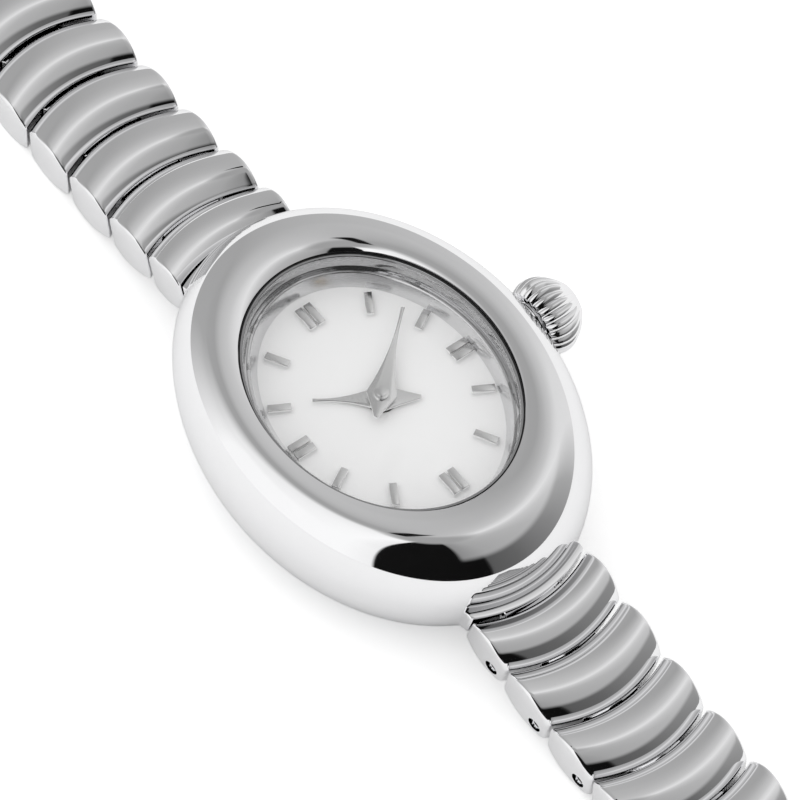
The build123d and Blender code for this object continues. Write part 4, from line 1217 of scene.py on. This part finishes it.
@dataclass
class Crown:
    """Ribbed crown: swells from a narrow base to its widest, and draws in to a small face.

    valley is the radius between the ribs as a share of the radius over them. rim_share is
    where the soft edges of base and face lie, as a share of their radius, flat_share where
    the flat of the face ends, and rim_ribs how much of the ribs shows on the two edges.
    """

    start: float = 11.08
    axis_height: float = 4.9
    length: float = 2.97
    base_radius: float = 2.16
    widest_share: float = 0.44
    radius: float = 2.46
    face_radius: float = 1.25
    ribs: int = 24
    valley: float = 0.92
    recess_radius: float = 1.38
    recess_depth: float = 1.72
    edge: float = 0.08
    base_edge: float = 0.04
    face_edge: float = 0.02
    rim_share: float = 0.93
    flat_share: float = 0.82
    rim_ribs: Pair = (0.5, 0.6)
    rib_points: int = 10
    side_rows: int = 33

    def side_radius(self, share: np.ndarray) -> np.ndarray:
        """Radius over the ribs: a smooth curve through three sizes.

        Args:
            share: Places along the crown, as shares of its length.

        Returns:
            The radius at each place.
        """
        known = [
            (0.0, self.base_radius),
            (self.widest_share, self.radius),
            (1.0, self.face_radius),
        ]
        total = np.zeros_like(share)
        for here, value in known:
            term = np.full_like(share, value)
            for other, _ in known:
                if other != here:
                    term = term * (share - other) / (here - other)
            total = total + term
        return total

    def build(self) -> None:
        """Builds the crown and hangs it on the body that pulls out and turns."""
        columns = self.ribs * self.rib_points
        turn = np.linspace(0, 2 * np.pi, columns, endpoint=False)
        wave = np.abs(np.sin(turn * self.ribs / 2))
        ribbed = self.valley + (1 - self.valley) * wave
        shares = 0.5 - 0.5 * np.cos(np.linspace(0.0, np.pi, self.side_rows))
        side_length = self.length - self.base_edge - self.edge
        profile = [
            (self.recess_depth, 0.0, 0.0),
            (self.recess_depth, self.recess_radius, 0.0),
            (self.edge, self.recess_radius, 0.0),
            (0.0, self.recess_radius + self.edge, 0.0),
            (0.0, self.base_radius * self.rim_share, self.rim_ribs[0]),
        ]
        for share, radius in zip(shares, self.side_radius(shares)):
            profile.append((self.base_edge + share * side_length, radius, 1.0))
        profile += [
            (self.length - self.face_edge, self.face_radius * self.rim_share, self.rim_ribs[1]),
            (self.length, self.face_radius * self.flat_share, 0.0),
            (self.length, 0.0, 0.0),
        ]
        circle = oval(1.0, 1.0, columns)
        rows = []
        for x, radius, amount in profile:
            ring = circle * (radius * (1 + (ribbed - 1) * amount))[:, None]
            rows.append(at_station(self.start + x, ring) + (0.0, 0.0, self.axis_height))
        crown = skin("crown_dressed", rows, POLISHED_STEEL)
        fit_out(crown, "crown_body", "polished_steel", "crown")


# Dial


@dataclass(frozen=True)
class Hand:
    """One hand: clock angle in degrees, reach of tip and tail, height and radius of its hole."""

    name: str
    angle: float
    reach: float
    tail: float
    height: float
    hole: float


@dataclass
class DialFurniture:
    """The sixteen hour bars and the two hands, at eight minutes past ten.

    waist and tail_waist are where the hollow side of a hand passes, as shares of its half
    width and of the reach of its tip or tail.
    """

    face_height: float = 6.8
    bar_height: float = 0.3
    bar_width: float = 0.48
    pair_gap: float = 0.14
    inner_oval: Pair = (5.12, 6.37)
    outer_oval: Pair = (6.48, 7.98)
    paired_hours: tuple[int, ...] = (0, 3, 6, 9)
    bevel: float = 0.035
    hands: tuple[Hand, ...] = (
        Hand("hour_hand", 304.0, 4.1, 2.36, 6.97, 0.45),
        Hand("minute_hand", 48.0, 6.27, 1.65, 7.37, 0.42),
    )
    hand_half_width: float = 0.95
    tip_half_width: float = 0.12
    waist: Pair = (0.34, 0.40)
    tail_waist: Pair = (0.6, 0.42)
    side_points: int = 25
    thickness: float = 0.12
    drill_reach: float = 0.5
    drill_bevel: float = 0.01
    cap_radius: float = 0.47
    cap_heights: Pair = (7.49, 7.62)
    cap_bevel: float = 0.03
    cap_points: int = 64
    stud_share: float = 0.6
    stud_heights: Pair = (7.6, 7.66)
    stud_bevel: float = 0.02

    def oval_distance(self, size: Pair, clock_angle: float) -> float:
        """Distance from the centre to an oval along a clock angle in radians."""
        return 1 / math.hypot(math.sin(clock_angle) / size[0], math.cos(clock_angle) / size[1])

    def turned(self, points: np.ndarray, clock_angle: float) -> np.ndarray:
        """Turns plan points clockwise.

        Args:
            points: The points, count by two.
            clock_angle: Angle in radians.

        Returns:
            The turned points.
        """
        c, s = math.cos(clock_angle), math.sin(clock_angle)
        x, y = points.T
        return np.column_stack([x * c + y * s, y * c - x * s])

    def build_bars(self) -> None:
        """Builds the hour bars as one piece: pairs at 12, 3, 6 and 9, and single bars between."""
        spread = (self.bar_width + self.pair_gap) / 2
        half = self.bar_width / 2
        low, high = self.face_height, self.face_height + self.bar_height
        bars = []
        for hour in range(HOURS):
            angle = math.radians(hour * FULL_TURN / HOURS)
            near = self.oval_distance(self.inner_oval, angle)
            far = self.oval_distance(self.outer_oval, angle)
            for offset in (-spread, spread) if hour in self.paired_hours else (0.0,):
                left, right = offset - half, offset + half
                corners = np.array([(left, near), (right, near), (right, far), (left, far)])
                outline = self.turned(corners, angle)
                bars.append(
                    plate("hour_bars_dressed", outline, low, high, self.bevel, SATIN_NICKEL)
                )
        join_shells(*bars)
        fit_out(bars[0], "root", "satin_hand_steel", "hour_markers")

    def hand_outline(self, hand: Hand) -> np.ndarray:
        """Outline of a hand: a thin four-pointed star with hollowed sides.

        Args:
            hand: The hand.

        Returns:
            The outline at the hand's clock angle, count by two.
        """
        half, tip, count = self.hand_half_width, self.tip_half_width, self.side_points
        waist = (self.waist[0] * half, self.waist[1] * hand.reach)
        right_up = three_point_arc((half, 0), waist, (tip, hand.reach), count)
        waist = (self.tail_waist[0] * half, -self.tail_waist[1] * hand.tail)
        right_down = three_point_arc((tip, -hand.tail), waist, (half, 0), count)
        right = np.vstack([right_down, right_up[1:]])
        left = right[::-1] * (-1, 1)
        return self.turned(np.vstack([right, left]), math.radians(hand.angle))

    def build_hands(self) -> None:
        """Builds both hands and the round cap that holds the minute hand."""
        for hand in self.hands:
            outline, low = self.hand_outline(hand), hand.height
            high = low + self.thickness
            piece = plate(f"{hand.name}_dressed", outline, low, high, self.bevel, SATIN_NICKEL)
            hole, past = oval(hand.hole, hand.hole, ROUND_STEPS), self.drill_reach
            drill = plate("drill", hole, low - past, low + past, self.drill_bevel, SATIN_NICKEL)
            change(piece, Solid.TAKE_AWAY, [drill])
            fit_out(piece, f"{hand.name}_body", "satin_hand_steel", hand.name)
        ring = oval(self.cap_radius, self.cap_radius, self.cap_points)
        cap = plate("minute_hand_cap", ring, *self.cap_heights, self.cap_bevel, SATIN_NICKEL)
        ring = self.stud_share * ring
        stud = plate("stud", ring, *self.stud_heights, self.stud_bevel, SATIN_NICKEL)
        join_shells(cap, stud)
        fit_out(cap, "minute_hand_body", "satin_hand_steel")


# Studio


def facing(bearing: float, rise: float) -> tuple[Vector, Vector, Vector]:
    """Axes of a card or camera that stands at a distance and faces the watch.

    Args:
        bearing: Degrees from +X towards +Y.
        rise: Degrees above the horizon.

    Returns:
        Directions across it, up it, and from the watch out to it.
    """
    turn, lift = math.radians(bearing), math.radians(rise)
    flat = math.cos(lift)
    out = Vector((math.cos(turn) * flat, math.sin(turn) * flat, math.sin(lift)))
    across = Vector((-math.sin(turn), math.cos(turn), 0.0))
    return across, out.cross(across), out


@dataclass(frozen=True)
class Card:
    """A dark card in the studio that only shows in reflections.

    bearing counts from +X towards +Y, and rise is above the horizon, both to its middle.
    wide and tall are half sizes and soft the width of its edge, as tangents of angles.
    """

    bearing: float = 70.0
    rise: float = 79.0
    wide: float = 0.1
    tall: float = 0.025
    roll: float = 49.0
    grey: float = 0.008
    soft: float = 0.008

    def hang(self, tree: bpy.types.NodeTree, direction: Feed, behind: Feed) -> Feed:
        """Lays the card over what is behind it.

        Args:
            tree: The surroundings' node tree.
            direction: The direction looked in.
            behind: Grey of what is behind the card.

        Returns:
            The grey of both together.
        """
        across, up, out = facing(self.bearing, self.rise)
        roll = Matrix.Rotation(math.radians(self.roll), 3, out)
        depth = self.along(tree, direction, out)
        cover = add_node(tree, "Math", {0: depth, 1: 0.0}, operation="GREATER_THAN")
        for axis, size in ((roll @ across, self.wide), (roll @ up, self.tall)):
            side = self.along(tree, direction, axis)
            shift = add_node(tree, "Math", {0: side, 1: depth}, operation="DIVIDE")
            away = add_node(tree, "Math", {0: shift}, operation="ABSOLUTE")
            inside = add_node(
                tree,
                "MapRange",
                {
                    "Value": away,
                    "From Min": size - self.soft,
                    "From Max": size + self.soft,
                    "To Min": 1.0,
                    "To Max": 0.0,
                },
                interpolation_type="SMOOTHSTEP",
            )
            cover = add_node(tree, "Math", {0: cover, 1: inside}, operation="MULTIPLY")
        return add_node(tree, "Mix", {"Factor": cover, "A": behind, "B": self.grey})

    def along(self, tree: bpy.types.NodeTree, direction: Feed, axis: Vector) -> Feed:
        """How far a direction points along an axis."""
        inputs = {0: direction, 1: tuple(axis)}
        return add_node(tree, "VectorMath", inputs, operation="DOT_PRODUCT")


@dataclass
class Studio:
    """Pale floor, white surroundings, soft light and the camera.

    The surroundings that polished metal reflects are a tent. tent_low and tent_high are its
    greys by bearing in degrees, low down and high up, and tent_top is the grey overhead. A
    band holds the heights of direction between which one grey gives way to the next.
    """

    floor_colour: str = "#F2F2F2"
    floor_half: float = 1500.0
    floor_lift: float = 0.36
    sky_grey: float = 0.97
    tent_low: tuple[tuple[float, str], ...] = (
        (0.0, "#E0E0E0"),
        (15.0, "#DCDCDC"),
        (30.0, "#C6C6C6"),
        (50.0, "#B8B8B8"),
        (75.0, "#A4A4A4"),
        (105.0, "#A8A8A8"),
        (115.0, "#BCBCBC"),
        (130.0, "#DEDEDE"),
        (145.0, "#FCFCFC"),
        (190.0, "#FFFFFF"),
        (203.0, "#F4F4F4"),
        (203.8, "#121212"),
        (264.0, "#0E0E0E"),
        (266.0, "#585858"),
        (285.0, "#646464"),
        (315.0, "#868686"),
        (340.0, "#A8A8A8"),
        (360.0, "#E0E0E0"),
    )
    tent_high: tuple[tuple[float, str], ...] = (
        (0.0, "#E4E4E4"),
        (15.0, "#D8D8D8"),
        (30.0, "#C8C8C8"),
        (50.0, "#BCBCBC"),
        (75.0, "#A2A2A2"),
        (100.0, "#A4A4A4"),
        (115.0, "#C4C4C4"),
        (135.0, "#F0F0F0"),
        (190.0, "#FFFFFF"),
        (203.0, "#F0F0F0"),
        (203.8, "#121212"),
        (248.0, "#101010"),
        (251.0, "#8E8E8E"),
        (270.0, "#A6A6A6"),
        (315.0, "#B6B6B6"),
        (340.0, "#CACACA"),
        (360.0, "#E4E4E4"),
    )
    tent_top: str = "#A0A0A0"
    high_band: Pair = (0.55, 0.72)
    top_band: Pair = (0.978, 0.996)
    card: Card = Card()
    lamp_watts: float = 0.22
    lamp_size: float = 500.0
    lamp_place: Triple = (-180.0, 220.0, 420.0)
    camera_bearing: float = -126.4
    camera_rise: float = 57.53
    camera_distance: float = 650.0
    camera_aim: Triple = (0.0, 0.0, 7.1)
    camera_shift: Pair = (1.09, -0.15)
    camera_range: Pair = (10.0, 20000.0)
    lens: float = 494.8
    sensor: float = 36.0

    def build(self) -> None:
        """Builds the floor, the surroundings, the lamp and the camera."""
        self.build_floor()
        self.build_world()
        self.build_lamp()
        self.build_camera()

    def build_floor(self) -> None:
        """Lays the floor that the watch lies on; the camera sees it white, with its shadows."""
        half = self.floor_half * MM
        corners = [(-half, -half, 0.0), (half, -half, 0.0), (half, half, 0.0), (-half, half, 0.0)]
        mesh = bpy.data.meshes.new("floor")
        mesh.from_pydata(corners, [], [(0, 1, 2, 3)])
        material = bpy.data.materials.new("floor_paper")
        tree = bare_tree(material)
        paper = add_node(tree, "BsdfDiffuse", {"Color": linear(self.floor_colour)})
        seen = add_node(tree, "LightPath").outputs["Is Camera Ray"]
        lift = add_node(tree, "Math", {0: seen, 1: self.floor_lift}, operation="MULTIPLY")
        glow = add_node(tree, "Emission", {"Strength": lift})
        both = add_node(tree, "AddShader", {0: paper, 1: glow})
        add_node(tree, "OutputMaterial", {"Surface": both})
        mesh.materials.append(material)
        add_object("floor", mesh)

    def build_world(self) -> None:
        """Surrounds the watch: white to the camera, an even sky to matt surfaces, and a grey
        tent with its card to polished ones."""
        world = bpy.data.worlds.new("studio")
        bpy.context.scene.world = world
        tree = bare_tree(world)
        path = add_node(tree, "LightPath").outputs
        direction = add_node(tree, "TexCoord").outputs["Generated"]
        grey = self.card.hang(tree, direction, self.walls(tree, direction))
        lit = {"Factor": path["Is Glossy Ray"], "A": self.sky_grey, "B": grey}
        shown = {"Factor": path["Is Camera Ray"], "A": add_node(tree, "Mix", lit), "B": 1.0}
        strength = add_node(tree, "Mix", shown)
        light = add_node(tree, "Background", {"Color": linear("#FFFFFF"), "Strength": strength})
        add_node(tree, "OutputWorld", {"Surface": light})

    def walls(self, tree: bpy.types.NodeTree, direction: Feed) -> Feed:
        """Grey of the tent by bearing, low down and high up, and even at its top.

        Args:
            tree: The surroundings' node tree.
            direction: The direction looked in.

        Returns:
            The grey in that direction.
        """
        split = add_node(tree, "SeparateXYZ", {"Vector": direction}).outputs
        bearing = add_node(tree, "Math", {0: split["Y"], 1: split["X"]}, operation="ARCTAN2")
        turns = add_node(tree, "Math", {0: bearing, 1: 2 * math.pi}, operation="DIVIDE")
        turn = add_node(tree, "Math", {0: turns, 1: 1.0}, operation="FLOORED_MODULO")
        greys = []
        for levels in (self.tent_low, self.tent_high):
            ramp = add_node(tree, "ValToRGB", {"Fac": turn})
            stops = ramp.color_ramp.elements
            while len(stops) < len(levels):
                stops.new(0.5)
            for stop, (degrees, colour) in zip(stops, levels):
                stop.position = degrees / FULL_TURN
                stop.color = linear(colour)
            greys.append(ramp)
        grey, high = greys
        top = linear(self.tent_top)[0]
        for above, (low, full) in ((high, self.high_band), (top, self.top_band)):
            share = add_node(
                tree,
                "MapRange",
                {"Value": split["Z"], "From Min": low, "From Max": full},
                interpolation_type="SMOOTHSTEP",
            )
            grey = add_node(tree, "Mix", {"Factor": share, "A": grey, "B": above})
        return grey

    def build_lamp(self) -> None:
        """Hangs one broad soft lamp high up, for a gentle shadow."""
        lamp = bpy.data.lights.new("soft_lamp", "AREA")
        lamp.shape = "DISK"
        lamp.size = self.lamp_size * MM
        lamp.energy = self.lamp_watts
        holder = add_object("soft_lamp", lamp)
        holder.location = Vector(self.lamp_place) * MM
        holder.rotation_mode = "QUATERNION"
        holder.rotation_quaternion = (-holder.location).to_track_quat("-Z", "Y")
        holder.visible_glossy = False

    def build_camera(self) -> None:
        """Sets the camera where the photograph was taken from."""
        right, up, back = facing(self.camera_bearing, self.camera_rise)
        camera = bpy.data.cameras.new("camera")
        camera.sensor_width = self.sensor
        camera.lens = self.lens
        near, far = self.camera_range
        camera.clip_start = near * MM
        camera.clip_end = far * MM
        holder = add_object("camera", camera)
        across, upwards = self.camera_shift
        place = Vector(self.camera_aim) + across * right + upwards * up
        holder.location = (place + self.camera_distance * back) * MM
        holder.rotation_mode = "QUATERNION"
        holder.rotation_quaternion = Matrix((right, up, back)).transposed().to_quaternion()
        bpy.context.scene.camera = holder


def dress_nodes() -> None:
    """Gives every CAD node that stays in sight the finish of its material."""
    for finish, names in NODE_FINISHES.items():
        for name in names:
            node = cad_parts[name]
            if not node.material_slots:
                node.data.materials.append(finish.material())
            for slot in node.material_slots:
                slot.material = finish.material()
            log.info("%s is %s", name, finish.name)


def main() -> None:
    """Builds the watch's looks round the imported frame, and the studio."""
    logging.basicConfig(level=logging.INFO, format="%(message)s")
    dress_nodes()
    Case().build()
    Crown().build()
    Bracelet().build()
    furniture = DialFurniture()
    furniture.build_bars()
    furniture.build_hands()
    Studio().build()
    bpy.context.scene.view_settings.view_transform = "Standard"


if __name__ == "__main__":
    main()
